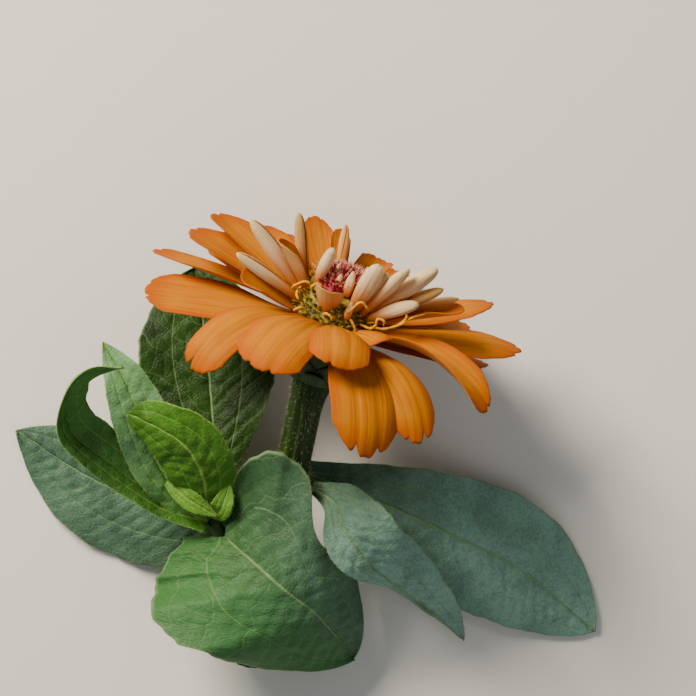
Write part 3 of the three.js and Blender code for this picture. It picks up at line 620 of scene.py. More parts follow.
def petal_material(name, under, under_share, tip_share):
    """Ray floret: a thin strap, satin and a little see-through, streaked along its length. The
    under face is paler, so a rolled petal shows the pale side."""
    material, tree, grain, place = new_material(name, "grain", "place")
    across, share, face = add(tree, "SeparateXYZ", {0: place})
    to_side = add(tree, "Math", {"operation": "ABSOLUTE", 0: across})[0]
    stretch = (1, PETAL_STREAK_MM / PETAL_STREAK_LONG_MM, 1)
    drawn = add(tree, "VectorMath", {"operation": "MULTIPLY", 0: grain, 1: stretch})[0]
    streaks = add(tree, "TexNoise", {"Vector": drawn, "Scale": 1 / PETAL_STREAK_MM, "Detail": 3.0})[0]
    clouds = add(tree, "TexNoise", {"Vector": grain, "Scale": 1 / PETAL_CLOUD_MM, "Detail": 2.0})[0]
    flecks = add(tree, "TexNoise", {"Vector": grain, "Scale": 1 / PETAL_FLECK_MM, "Detail": 1.0})[0]
    side_edge = add(tree, "MapRange", {0: to_side, 1: 0.6, 2: 1.0, 4: 0.75})[0]
    tip_edge = add(tree, "MapRange", {0: share, 1: 0.82, 2: 1.0, 4: 0.8})[0]
    edge = add(tree, "Math", {"operation": "MAXIMUM", 0: side_edge, 1: tip_edge})[0]
    stops = ((0.25, PETAL_DEEP), (0.5, PETAL_BODY), (0.75, PETAL_LIGHT))
    body = add(tree, "ValToRGB", {0: streaks, "stops": stops})[0]
    body = coated(tree, body, (PETAL_LIGHT, clouds, 0.4, 0.7, 0.0, 0.45),
                  (PETAL_ROOT, share, 0.04, 0.22, 1.0, 0.0), (PETAL_EDGE, edge),
                  (PETAL_FLECK, flecks, 0.76, 0.8, 0.0, 0.4))
    towards_tip = add(tree, "Math", {"operation": "MULTIPLY_ADD", 0: share, 1: 1.1, 2: streaks})[0]
    at_tip = add(tree, "MapRange", {0: share, 1: 0.7, 2: 1.0, 4: tip_share})[0]
    speckles = add(tree, "MapRange", {0: flecks, 1: 0.42, 2: 0.58, 3: 0.4, 4: 1.0})[0]
    green_tip = add(tree, "Math", {"operation": "MULTIPLY", 0: at_tip, 1: speckles})[0]
    pale = coated(tree, under[0], (under[1], towards_tip, 0.6, 1.15, 0.0, 1.0), (YOUNG_GREEN, green_tip),
                  (PETAL_BODY, share, 0.1, 0.68, 1.0, 0.0), (PETAL_BODY, to_side, 0.86, 0.98, 0.0, 0.7))
    colour = coated(tree, body, (pale, face, -0.4, 0.4, under_share, 0.0))
    height = add(tree, "Math", {"operation": "MULTIPLY_ADD", 0: clouds, 1: 0.6, 2: streaks})[0]
    relief = add(tree, "Bump", {"Height": height, "Distance": 0.00009})[0]
    satin = {"Roughness": 0.55, "IOR": 1.4, "Specular IOR Level": 0.12}
    thin_blade(tree, colour, 0.25, satin, {"Normal": relief})
    return material


def core_material():
    """Receptacle: fleshy and olive, pitted where florets root."""
    material, tree, grain = new_material("receptacle_flesh", "grain")
    pits = add(tree, "TexVoronoi", {"Vector": grain, "Scale": 1 / CORE_PIT_MM})[0]
    stops = ((0.05, "#3C3A0E"), (0.5, "#6A6420"), (0.8, "#948420"))
    colour = add(tree, "ValToRGB", {0: pits, "stops": stops})[0]
    relief = add(tree, "Bump", {"Height": pits, "Distance": 0.0004})[0]
    flesh = add(tree, "BsdfPrincipled", {"Base Color": colour, "Roughness": 0.6, "Normal": relief})
    add(tree, "OutputMaterial", {0: flesh[0]})
    return material


rng = np.random.default_rng(21)
open_petal = petal_material("ray_floret_open", ("#D9781E", "#D8924E"), 0.75, 0.15)
half_open_petal = petal_material("ray_floret_half_open", ("#DD8A3C", "#E0B070"), 0.9, 0.5)
young_petal = petal_material("ray_floret_young", (YOUNG_PINK, YOUNG_CREAM), 0.95, 0.6)
levels = np.linspace(*CORE_LEVELS, CORE_RINGS)
core_side = [[head_radius(level) - CORE_INSET, level] for level in levels]
core = turned([[0, CORE_LEVELS[0]], *core_side, [0, CORE_LEVELS[1]]], CORE_SIDES)
add_piece("receptacle", core, [core_material()], "petal_orange", "ray_petals")
# the last value is how deep the pleats are, and a rolled petal has none
for name, shapes, material, pleats in (
        ("petals_outer", OUTER_PETALS, open_petal, 1.0),
        ("petals_back", BACK_PETALS, open_petal, 0.8),
        ("petals_middle", MIDDLE_PETALS, open_petal, 0.7),
        ("petals_half_open", HALF_OPEN_PETALS, half_open_petal, 0.4),
        ("petals_rolled_pale", ROLLED_PALE, young_petal, 0),
        ("petals_rolled_orange", ROLLED_ORANGE, half_open_petal, 0)):
    florets = [petal(shape, rng, pleats) if pleats else rolled_petal(shape, rng) for shape in shapes]
    add_piece(name, joined(florets), [material], "petal_orange", "ray_petals")

# ---- Disc ----
# The middle of the head: narrow crimson chaff bracts with a pale fringed tip, packed in a
# spiral on a low dome, with cream buds of florets that are still to open. Short olive chaff
# goes on down the head between the petals' claws.
DISC_RADIUS = 6.2
DISC_BOTTOM = 8.9
DISC_DOME = 2.2
CHAFF_COUNT = 110
CHAFF_RING = 5.5
CHAFF_LONG = 3.6
CHAFF_WIDE = 1.15
CHAFF_THICK = 0.12
CHAFF_GRID = (13, 9)           # columns and steps
CHAFF_FOLD = 0.3
CHAFF_CURL = 0.25
CHAFF_TAPER = 0.35
TOOTH_DEEP = 0.26              # as a share of the bract's length
CHAFF_TINT_MM = 1.3            # patches of a lighter tint
COLLAR_COUNT = 150
COLLAR_FOOT = 1.5              # level of the lowest collar chaff, and how far up the rest go
COLLAR_HIGH = 6.6
COLLAR_SUNK = 0.8              # how far into the receptacle it is rooted
COLLAR_LONG = (1.6, 2.8)
COLLAR_WIDE = 1.2
GOLDEN_ANGLE = math.radians(137.508)
DOME_SIDES = 48
BUD_STEPS = 18
BUD_SIDES = 20
# azimuth, distance from the axis, level, length, thickness, lean outwards
BUDS = [(16, 5.7, 8.9, 6.4, 2.4, 0), (44, 4.9, 9.4, 3.6, 1.7, 16), (21, 8.4, 4.8, 4.8, 1.9, 6),
        (130, 6.0, 8.6, 5.0, 1.8, -6), (-14, 3.2, 10.0, 3.0, 1.5, 5), (-122, 2.0, 10.4, 3.2, 1.6, 0),
        (-140, 5.4, 9.0, 3.8, 1.7, 18)]


def chaff(out, turn, level, lean, long, wide, rng):
    """One chaff bract: a folded strip whose tip is cut into pointed teeth."""
    across, rise = np.meshgrid(np.linspace(-1, 1, CHAFF_GRID[0]), np.linspace(0, 1, CHAFF_GRID[1]))
    teeth = TOOTH_DEEP * np.abs(np.sin(across * math.pi * 1.5 + rng.uniform(-0.3, 0.3)))
    up = rise * long * (1 - (teeth + 0.18 * np.abs(across)) * rise ** 2)
    side = across * wide / 2 * (1 - CHAFF_TAPER * rise)
    outwards = CHAFF_FOLD * (1 - across ** 2) + CHAFF_CURL * rise ** 3 * rng.uniform(-1, 1.4)
    twist = rng.uniform(-0.5, 0.5)
    x = side * math.cos(twist) - outwards * math.sin(twist)
    y = side * math.sin(twist) + outwards * math.cos(twist)
    forward = out + y * math.cos(lean) + up * math.sin(lean)
    level = level + up * math.cos(lean) - y * math.sin(lean)
    middle = on_head(np.stack([forward * math.sin(turn) + x * math.cos(turn),
                               forward * math.cos(turn) - x * math.sin(turn), level], axis=-1))
    notes = noted(grain=(side, up, rng.uniform(0, 50)), place=(across, rise, 0))
    return shell(middle, HEAD_UP, CHAFF_THICK * (1.1 - 0.7 * rise), notes)


def disc_chaff(index, rng):
    """One chaff bract of the spiral, which leans out more the farther it is from the middle."""
    share = math.sqrt((index + 0.5) / CHAFF_COUNT)
    lean = math.radians(38 * share + rng.uniform(-7, 7))
    level = DISC_BOTTOM + 0.35 + (DISC_DOME - 0.7) * (1 - share ** 2)
    long = CHAFF_LONG * rng.uniform(0.82, 1.12)
    return chaff(CHAFF_RING * share, index * GOLDEN_ANGLE, level, lean, long, CHAFF_WIDE, rng)


def collar_chaff(index, rng):
    """One short chaff bract between the petals' claws."""
    level = COLLAR_FOOT + COLLAR_HIGH * (index + 0.5) / COLLAR_COUNT
    lean = math.radians(rng.uniform(35, 70))
    out = head_radius(level) - COLLAR_SUNK
    return chaff(out, index * GOLDEN_ANGLE, level, lean, rng.uniform(*COLLAR_LONG), COLLAR_WIDE, rng)


def chaff_material(name, foot, body, body_light, tip):
    """Chaff bract: dry and papery, with a paler fringe that catches the light."""
    material, tree, grain, place = new_material(name, "grain", "place")
    share = add(tree, "SeparateXYZ", {0: place})[1]
    tint = add(tree, "TexNoise", {"Vector": grain, "Scale": 1 / CHAFF_TINT_MM, "Detail": 2.0})[0]
    colour = add(tree, "ValToRGB", {0: tint, "stops": ((0.35, body), (0.65, body_light))})[0]
    colour = coated(tree, colour, (foot, share, 0.0, 0.35, 1.0, 0.0), (tip, share, 0.74, 1.0, 0.0, 0.9))
    thin_blade(tree, colour, 0.2, {"Roughness": 0.65, "Specular IOR Level": 0.3}, {})
    return material


def bud(azimuth, out, level, long, thick, lean):
    """A closed young floret: a plump tapering body with shallow lengthwise folds."""
    turn = math.radians(azimuth)
    tilt = math.radians(lean)
    foot = np.array([out * math.sin(turn), out * math.cos(turn), level])
    axis = np.array([math.sin(tilt) * math.sin(turn), math.sin(tilt) * math.cos(turn), math.cos(tilt)])
    share = np.linspace(0, 1, BUD_STEPS)[:, None]
    around = full_turn(BUD_SIDES)
    fat = thick / 2 * np.sin(math.pi * share ** 0.8) ** 0.6 * (1 - 0.25 * share)
    fat = fat * (1 + 0.07 * np.cos(5 * around))
    side = np.cross(axis, [0.3, 0.2, 0.9])
    side /= np.linalg.norm(side)
    ring = side * np.cos(around)[:, None] + np.cross(axis, side) * np.sin(around)[:, None]
    points = foot + axis * (share * long)[..., None] + ring * fat[..., None]
    notes = noted(grain=(around, share * long, azimuth), place=(0 * around, share, -1))
    return closed(on_head(points).reshape(-1, 3), BUD_STEPS, BUD_SIDES, notes)


rng = np.random.default_rng(5)
dome = turned([[0, DISC_BOTTOM], [DISC_RADIUS - 0.3, DISC_BOTTOM], [DISC_RADIUS * 0.9, DISC_BOTTOM + 0.8],
               [DISC_RADIUS * 0.6, DISC_BOTTOM + 1.8], [0, DISC_BOTTOM + DISC_DOME]], DOME_SIDES)
red_chaff = chaff_material("disc_chaff", "#B0641A", "#A01C34", "#CC4C60", "#F2D2A4")
olive_chaff = chaff_material("collar_chaff", "#5C5C14", "#8A8420", "#B49A2C", "#E0A834")
add_piece("disc_chaff", joined([dome, *[disc_chaff(index, rng) for index in range(CHAFF_COUNT)]]),
          [red_chaff], "disc_crimson", "disc")
add_piece("collar_chaff", joined([collar_chaff(index, rng) for index in range(COLLAR_COUNT)]),
          [olive_chaff], "disc_crimson")
add_piece("floret_buds", joined([bud(*shape) for shape in BUDS]), [young_petal], "petal_orange")

# ---- Styles ----
# Each open ray floret has a thread-like yellow style at its throat, which splits and curls
# back on itself.
STYLE_THICK = 0.58
STYLE_STEPS = 44
STYLE_SIDES = 10
STYLE_KNOBS = 0.12             # how far the pollen on it stands out, as a share of its thickness
POLLEN_MM = 0.3                # drawn coarser than life to show
# points of each thread, from the middle of the bloom: right, front, up
STYLES = [
    [(-5.3, 4, 7.4), (-7.4, 4.6, 9.4), (-9.6, 4, 7.6), (-10.3, 3.6, 6.4)],
    [(-4, 5, 6.6), (-3.7, 5.4, 9), (-4.8, 5.6, 10.2), (-6, 5.6, 9.2), (-5.8, 5.2, 7.8)],
    [(-7.4, 2, 6.4), (-8.6, 3, 6.8), (-8.8, 4.2, 5.8), (-8, 5, 5)],
    [(2.4, 7.4, 5.8), (3.3, 9.5, 7.9), (5, 9.8, 10.7), (7.2, 9.4, 9.2)],
    [(2.4, 7, 6), (4, 8.2, 5.4), (5.2, 8.6, 4.2), (5.8, 8.4, 3)],
    [(5.9, 6.1, 4.2), (8.4, 8.6, 5), (9.4, 10, 6.6), (9.5, 10.2, 8.3), (10.9, 10.2, 8.2), (11, 10, 6.9)],
    [(7.4, 5, 4.4), (9, 5.6, 5.4), (9.9, 5.8, 6.9), (10.9, 5.5, 6.2)],
    [(7.6, 4.2, 3.8), (11, 7, 5), (14.2, 9, 7.9), (16.4, 9, 10.4), (18.9, 9, 12.2)],
    [(14.1, 8.9, 7.8), (15.2, 9.2, 9.8), (15, 9.2, 11)],
    [(-2, 8, 4.6), (-1.4, 9.2, 5.6), (-0.2, 9.4, 5.2), (0.2, 9, 4.2)],
    [(-6, 6.4, 4), (-7.2, 7.6, 4.4), (-8.2, 7.4, 3.4), (-8, 6.6, 2.6)],
    [(-8.4, -1, 4.6), (-9.6, -1, 6.4), (-9, -0.4, 7.8), (-8, 0, 7)],
    [(3, -7, 5.4), (4, -8.4, 7), (5.2, -8, 8.2), (5.4, -7, 7.2)],
    [(-3, -7.4, 5), (-3.6, -8.8, 6.6), (-4.8, -8.4, 7.6), (-5, -7.4, 6.8)],
]


def style(points, seed):
    """One thread through its points, a little knobbly with pollen."""
    shares = np.linspace(0, 1, STYLE_STEPS)
    places, along, long = spline(on_head(points), shares)
    knobs = 1 + STYLE_KNOBS * np.sin(shares * 40 + seed)
    radius = STYLE_THICK / 2 * knobs * np.minimum(1, 6 * (1 - shares) + 0.3)
    radius[0] = radius[-1] = 0
    notes = noted(grain=(np.arange(STYLE_SIDES) * 0.3, shares[:, None] * long, seed))
    return tube(places, along, np.repeat(radius[:, None], STYLE_SIDES, axis=1), notes)


def style_material():
    """Style: a waxy yellow thread, dusty with pollen at its ends."""
    material, tree, grain = new_material("floret_style", "grain")
    dust = add(tree, "TexNoise", {"Vector": grain, "Scale": 1 / POLLEN_MM, "Detail": 1.0})[0]
    colour = add(tree, "ValToRGB", {0: dust, "stops": ((0.35, "#D08A00"), (0.7, "#E2AA00"))})[0]
    relief = add(tree, "Bump", {"Height": dust, "Distance": 0.00006})[0]
    style_wax_and_leaf_painted_sheen = add(tree, "BsdfPrincipled", {"Base Color": colour, "Roughness": 0.45, "Normal": relief})
    add(tree, "OutputMaterial", {0: style_wax_and_leaf_painted_sheen[0]})
    return material


threads = [style(points, seed) for seed, points in enumerate(STYLES)]
add_piece("floret_styles", joined(threads), [style_material()], "petal_orange")

# ---- Grown leaves ----
# Broad stalkless leaves in pairs: soft green blades, waved at the edge, with three nerves from
# the base, a sunken net of veins, and short stiff hairs along the margin.
LEAF_THICK = 0.42
LEAF_GRID = (53, 120)          # columns and steps
NERVE_AT = 0.5                 # the two side nerves, as a share of the half width
BRANCH_MM = 6.5                # spacing of the veins that leave the midrib
MIDRIB_WIDE = 0.6
NERVE_WIDE = 0.3
BRANCH_WIDE = 0.22
MIDRIB_DEEP = 0.32             # grooves along the midrib, the side nerves and their branches
NERVE_DEEP = 0.16
BRANCH_DEEP = 0.1
QUILT_HIGH = 0.24              # how far the blade swells between its veins
LUMP_HIGH = 0.18
NET_MM = 3.0                   # meshes of the vein net
CELL_MM = 0.9                  # its smallest meshes
CLOUD_MM = 8                   # soft patches in the green and in the painted sheen
GRIT_MM = 0.5                  # the leaf's rough skin, drawn coarser than life to show
# a bluish grey that stands for the sky's reflection: painted sheen on the leaves
PAINTED_SHEEN_TINT = "#7FAA9C"
LEAF_HAIRS = 240
MARGIN_HAIR_THICK = 0.035
MARGIN_HAIR_LONG = (0.3, 0.7)
MARGIN_STEP = 2                # points of one margin lie nearer to one another than this
TUCK_AT = 0.48                 # where the front leaf is drawn in, as a share of its length
TUCK_LONG = 0.1
# Angles are in degrees. fold: how far each half stands up; bow: how far it arches down, as a share of its
# half width; rise: what its margin is raised by at the base and at the tip; wave, waves: the margin's
# ripples; base, full_at, slow, point: the outline, from the base's width to how drawn out the tip is;
# sweep: how far the halves reach back past the base; face: where the upper face looks; the key before
# fresh: how much bluish painted sheen, standing for reflected sky, lies on the green; fresh: how fresh
# the green is; other: what is different on the left half.
LEAF_USUAL = {"fold": 8, "bow": 0, "rise": (0, 0), "wave": 0.8, "waves": 3, "base": 0.4, "full_at": 0.45,
              "slow": 1, "point": 0.9, "tuck": 0, "roll": 0, "twist": 0, "sweep": 0, "face": (0, 0, 1),
              "style_wax_and_leaf_painted_sheen": 0.2, "fresh": 0.0, "other": {}}
GROWN_LEAVES = {
    "leaf_upper_right": {
        "midrib": [(-10.6, -27, 18), (-4.4, -29.8, 14), (10.3, -36, 11.5), (24, -42.5, 9.5), (39, -50.2, 5.8),
                   (56, -64.6, 0.9)],
        "wide": 29, "fold": 5, "bow": 0.3, "base": 0.18, "full_at": 0.62, "slow": 1.3, "point": 0.8,
        "style_wax_and_leaf_painted_sheen": 0.85},
    "leaf_upper_left": {
        "midrib": [(-15.5, -38.5, 12.5), (-32, -38, 5.5), (-47, -34.3, 3.2), (-60.5, -28.5, 2.3),
                   (-75.5, -18.7, 1.4)],
        "wide": 29, "fold": 6, "bow": 0.12, "base": 0.3, "full_at": 0.5, "style_wax_and_leaf_painted_sheen": 0.28},
    "leaf_front": {
        "midrib": [(-27.3, -42, 19), (-23.6, -45, 21.5), (-19.3, -48.6, 24), (-14.4, -52.8, 25),
                   (-8, -58, 22), (-3, -64, 15), (1, -69.6, 7)],
        "wide": 48, "fold": 4, "bow": 0.25, "wave": 1.4, "waves": 2.2, "base": 0.25, "full_at": 0.5,
        "slow": 1.3, "sweep": 1.35, "style_wax_and_leaf_painted_sheen": 0.1, "fresh": 0.8,
        "other": {"wide": 47, "bow": 0, "base": 0.2, "full_at": 0.3, "slow": 0.8, "point": 1,
                  "rise": (18, -36), "tuck": 0.42, "sweep": 0.65, "style_wax_and_leaf_painted_sheen": 0.3, "fresh": 0.2}},
    "leaf_front_right": {
        "midrib": [(-11.8, -29.6, 17.6), (-7.4, -31.5, 20.5), (-3, -34, 25), (-1.2, -38.5, 29),
                   (1, -42.8, 30.5), (5, -47.5, 28.5), (12, -53.5, 21), (20, -60.5, 11), (26, -66, 3)],
        "wide": 12, "fold": 2, "base": 0.12, "full_at": 0.32, "slow": 3, "point": 6, "roll": 8, "style_wax_and_leaf_painted_sheen": 0.85,
        "other": {"wide": 22, "fold": 6, "bow": 0.2, "base": 0.1, "full_at": 0.35, "slow": 2.5,
                  "point": 0.8}},
    "leaf_shoot_back": {
        "midrib": [(-29, -39, 15), (-29.8, -27.5, 12.5), (-30.8, -11.7, 9.5), (-32.6, 4.1, 6.5),
                   (-34.7, 18.2, 3.5)],
        "wide": 31, "fold": 6, "base": 0.08, "full_at": 0.64, "slow": 1.8, "point": 0.7, "style_wax_and_leaf_painted_sheen": 0.0},
}


def leaf_width(share, half):
    """The width of one half of a leaf, as a share of its full one."""
    grown = np.sin(math.pi / 2 * np.minimum(1, share / half["full_at"])) ** half["slow"]
    past = np.maximum(0, (share - half["full_at"]) / (1 - half["full_at"]))
    drawn_in = 1 - half["tuck"] * hump(share - TUCK_AT, TUCK_LONG)
    return (half["base"] + (1 - half["base"]) * grown) * (1 - past ** 2) ** half["point"] * drawn_in


def leaf(shape, rng, grid=LEAF_GRID):
    """A leaf along its midrib, folded at it, bowed, waved at the edges, and quilted by its veins.
    Gives the blade, and the margin's points with their outward directions."""
    right = {**LEAF_USUAL, **shape}
    left = {**right, **right["other"]}
    share = np.linspace(0, 1, grid[1])
    midrib, along, long = spline(right["midrib"], share)
    over = np.empty_like(along)
    held = np.array(right["face"], float)
    for i, direction in enumerate(along):
        held = held - held.dot(direction) * direction
        held = held / np.linalg.norm(held)
        over[i] = held
    side = np.cross(along, over)
    turn = np.radians(right["roll"] + right["twist"] * share)[:, None]
    sideways, outwards = rolled(side, over, turn)
    share = share[:, None]
    x = np.linspace(-1, 1, grid[0])
    wide, bow, wave, waves, sweep, fold = (
        np.where(x < 0, left[key], right[key]) for key in ("wide", "bow", "wave", "waves", "sweep", "fold"))
    half = wide / 2 * np.where(x < 0, leaf_width(share, left), leaf_width(share, right))
    half = np.maximum(0.4, half) * np.minimum(1, 60 * (1 - share) + 0.4)
    stand = np.where(x < 0, *(np.interp(share, [0, 1], hand["rise"]) for hand in (left, right)))
    frill = 1 + 0.012 * np.sin(share * 47 + np.sign(x) * 2) + 0.006 * np.sin(share * 113)
    out = np.abs(x) * half * np.where(np.abs(x) > 0.8, frill, 1)
    ripple = np.sin(2 * math.pi * waves * share + np.where(x > 0, 0, 1.3))
    ripple = wave * x ** 2 * np.minimum(1, share / 0.15) * ripple
    fold = np.radians(fold)
    rise = np.sin(fold) * out + (stand - bow * wide / 2) * (out / (wide / 2)) ** 2 + ripple

    to_nerve = (np.abs(x) - NERVE_AT * np.minimum(1, 0.25 + share / 0.2)) * half
    branch = (share * long - 0.8 * out) / BRANCH_MM + np.where(x > 0, 0, 0.5)
    between = np.abs(branch - np.round(branch)) * BRANCH_MM
    groove = MIDRIB_DEEP * hump(out, 0.55) + NERVE_DEEP * hump(to_nerve, 0.45)
    groove = groove + BRANCH_DEEP * hump(between, 0.4)
    inside = (1 - np.abs(x) ** 3) * np.minimum(1, half / 4)
    quilt = np.sin(math.pi * np.minimum(1, between / (BRANCH_MM / 2))) * np.minimum(1, out / 3)
    lumps = np.sin(out * 1.1 + 3 * branch) * np.sin(share * long * 0.9)
    rise = rise + (QUILT_HIGH * quilt + LUMP_HIGH * lumps - groove) * inside
    middle = midrib[:, None] - along[:, None] * (sweep * out * (1 - share))[..., None]
    middle = middle + sideways[:, None] * (np.cos(fold) * out * np.sign(x))[..., None]
    middle = middle + outwards[:, None] * rise[..., None]
    to_right = 1 / (1 + np.exp(-5 * x))
    # how much bluish painted sheen, standing for reflected sky, and how fresh the green is, from the left
    # half to the right
    style_wax_and_leaf_painted_sheen, fresh = (left[key] + (right[key] - left[key]) * to_right for key in ("style_wax_and_leaf_painted_sheen", "fresh"))
    notes = noted(grain=(out * np.sign(x), share * long, rng.uniform(0, 90)), place=(x, share, 0),
                  veins=(out, np.abs(to_nerve), branch), tone=(style_wax_and_leaf_painted_sheen, fresh, 0 * share))
    thick = LEAF_THICK * (1 - 0.4 * np.abs(x) ** 6) + 0.5 * hump(out, 0.8) * (1 - share)
    blade = shell(middle, outwards[:, None], thick, notes)
    edge = np.concatenate([middle[3:-2, 0], middle[3:-2, -1]])
    away = np.concatenate([-sideways[3:-2], sideways[3:-2]]) + np.tile(along[3:-2], (2, 1)) * HAIR_SLANT
    return blade, edge, away


def leaf_material(name, upper, deep, fresh_green, vein, under, glow_share):
    """Leaf blade: matt skin under a painted bluish sheen that stands for reflected sky, pale sunken veins,
    a rough grain that breaks the light, and a paler under face on which the veins stand out."""
    material, tree, grain, place, veins, tone = new_material(name, "grain", "place", "veins", "tone")
    across, share, face = add(tree, "SeparateXYZ", {0: place})
    to_side = add(tree, "Math", {"operation": "ABSOLUTE", 0: across})[0]
    to_midrib, to_nerve, branch = add(tree, "SeparateXYZ", {0: veins})
    style_wax_and_leaf_painted_sheen, fresh = add(tree, "SeparateXYZ", {0: tone})[:2]
    clouds = add(tree, "TexNoise", {"Vector": grain, "Scale": 1 / CLOUD_MM, "Detail": 3.0})[0]
    grit = add(tree, "TexNoise", {"Vector": grain, "Scale": 1 / GRIT_MM, "Detail": 2.0})[0]
    net = add(tree, "TexVoronoi", {"feature": "DISTANCE_TO_EDGE", "Vector": grain, "Scale": 1 / NET_MM})[0]
    cells = add(tree, "TexVoronoi", {"feature": "DISTANCE_TO_EDGE", "Vector": grain, "Scale": 1 / CELL_MM})[0]
    narrow = add(tree, "MapRange", {0: share, 1: 0.3, 2: 1.0, 3: 1.0, 4: 0.35})[0]
    from_midrib = add(tree, "Math", {"operation": "DIVIDE", 0: to_midrib, 1: narrow})[0]
    from_nerve = add(tree, "Math", {"operation": "DIVIDE", 0: to_nerve, 1: narrow})[0]
    wander = add(tree, "Math", {"operation": "MULTIPLY_ADD", 0: clouds, 1: 1.2, 2: branch})[0]
    from_branch = add(tree, "Math", {"operation": "PINGPONG", 0: wander, 1: 0.5})[0]
    lines = 0.0
    for off, clear_to, gone_at, strength in (
            (from_midrib, MIDRIB_WIDE * 0.4, MIDRIB_WIDE, 1.0),
            (from_nerve, NERVE_WIDE * 0.3, NERVE_WIDE, 0.5),
            (from_branch, BRANCH_WIDE * 0.3 / BRANCH_MM, BRANCH_WIDE / BRANCH_MM, 0.3),
            (net, 0.0, 0.06, 0.08)):
        line = add(tree, "MapRange", {0: off, 1: clear_to, 2: gone_at, 3: strength, 4: 0.0})[0]
        lines = add(tree, "Math", {"operation": "MAXIMUM", 0: lines, 1: line})[0]
    # painted sheen: a bluish tint for reflected sky, broken up by the grit and the clouds and fading towards
    # the base
    painted_sheen = style_wax_and_leaf_painted_sheen
    for value, start, end, first, last in (
            (grit, 0.3, 0.7, 0.75, 1.2), (clouds, 0.35, 0.6, 0.8, 1.1), (share, 0.05, 0.5, 0.2, 1.0)):
        part = add(tree, "MapRange", {0: value, 1: start, 2: end, 3: first, 4: last})[0]
        painted_sheen = add(tree, "Math", {"operation": "MULTIPLY", 0: painted_sheen, 1: part})[0]
    green = add(tree, "ValToRGB", {0: clouds, "stops": ((0.3, deep), (0.62, upper))})[0]
    shown = add(tree, "Math", {"operation": "MULTIPLY", 0: lines, 1: 0.7})[0]
    top = coated(tree, green, (fresh_green, fresh), (PAINTED_SHEEN_TINT, painted_sheen), (vein, shown))
    below = coated(tree, under, (vein, shown))
    colour = coated(tree, top, (below, face, -0.4, 0.4, 1.0, 0.0), (vein, to_side, 0.965, 0.99, 0.0, 0.6))
    fleshy = add(tree, "MapRange", {0: cells, 1: 0.0, 2: 0.35, 4: 0.35})[0]
    swollen = add(tree, "MapRange", {0: net, 1: 0.0, 2: 0.3, 4: 0.7})[0]
    swollen = add(tree, "Math", {"operation": "ADD", 0: swollen, 1: fleshy})[0]
    sunken = add(tree, "Math", {"operation": "MULTIPLY_ADD", 0: lines, 1: -0.9, 2: swollen})[0]
    relief = add(tree, "Bump", {"Height": sunken, "Distance": 0.00014})[0]
    relief = add(tree, "Bump", {"Height": grit, "Distance": 0.00012, "Normal": relief})[0]
    matt = {"Roughness": 0.48, "IOR": 1.45, "Specular IOR Level": 0.22}
    thin_blade(tree, colour, glow_share, matt, {"Normal": relief})
    return material


def margin_hairs(edge, away, rng, count, lengths=MARGIN_HAIR_LONG):
    """Short stiff hairs along a leaf's two margins, but none between the ends of the two."""
    picked = rng.integers(0, len(edge), count)
    between = rng.uniform(0, 1, (count, 1))
    after = np.minimum(picked + 1, len(edge) - 1)
    near = np.linalg.norm(edge[after] - edge[picked], axis=1) < MARGIN_STEP
    roots = np.where(near[:, None], edge[picked] * (1 - between) + edge[after] * between, edge[picked])
    return hairs(roots, rng.uniform(*lengths, count), rng, away[picked], MARGIN_HAIR_THICK)


rng = np.random.default_rng(31)
grown_leaf = leaf_material("grown_leaf_blade", "#284816", "#182E0D", "#38702A", "#7E9E68", "#5E7E46", 0.1)
fringe = []
for node, shape in GROWN_LEAVES.items():
    blade, edge, away = leaf(shape, rng)
    add_piece(node + "_blade", blade, [grown_leaf], "leaf_green", node)
    fringe.append(margin_hairs(edge, away, rng, LEAF_HAIRS))
add_piece("leaf_margin_hairs", joined(fringe), [hair], "leaf_green")

# ---- Side shoot ----
# A young shoot from the leaf joint: a thin soft stem with five tender yellow-green leaves,
# of which the longest curls round at its end.
SHOOT_RADIUS = 1.9
SHOOT_TAPER = 0.5
SHOOT_RIDGES = 7
SHOOT_RIDGE_HIGH = 0.04        # as a share of its radius
SHOOT_STEPS = 30
SHOOT_SIDES = 40
YOUNG_GRID = (41, 90)          # columns and steps
SMALL_GRID = (17, 40)          # the same for a leaf narrower than SMALL_LEAF
SMALL_LEAF = 6
YOUNG_HAIRS = 170
SMALL_HAIRS = 60
YOUNG_HAIR_LONG = (0.3, 0.6)
SHOOT_LINE = [(-19.3, -51, 11), (-24.5, -45, 14), (-28.6, -41, 16.5), (-30, -38, 18.5)]
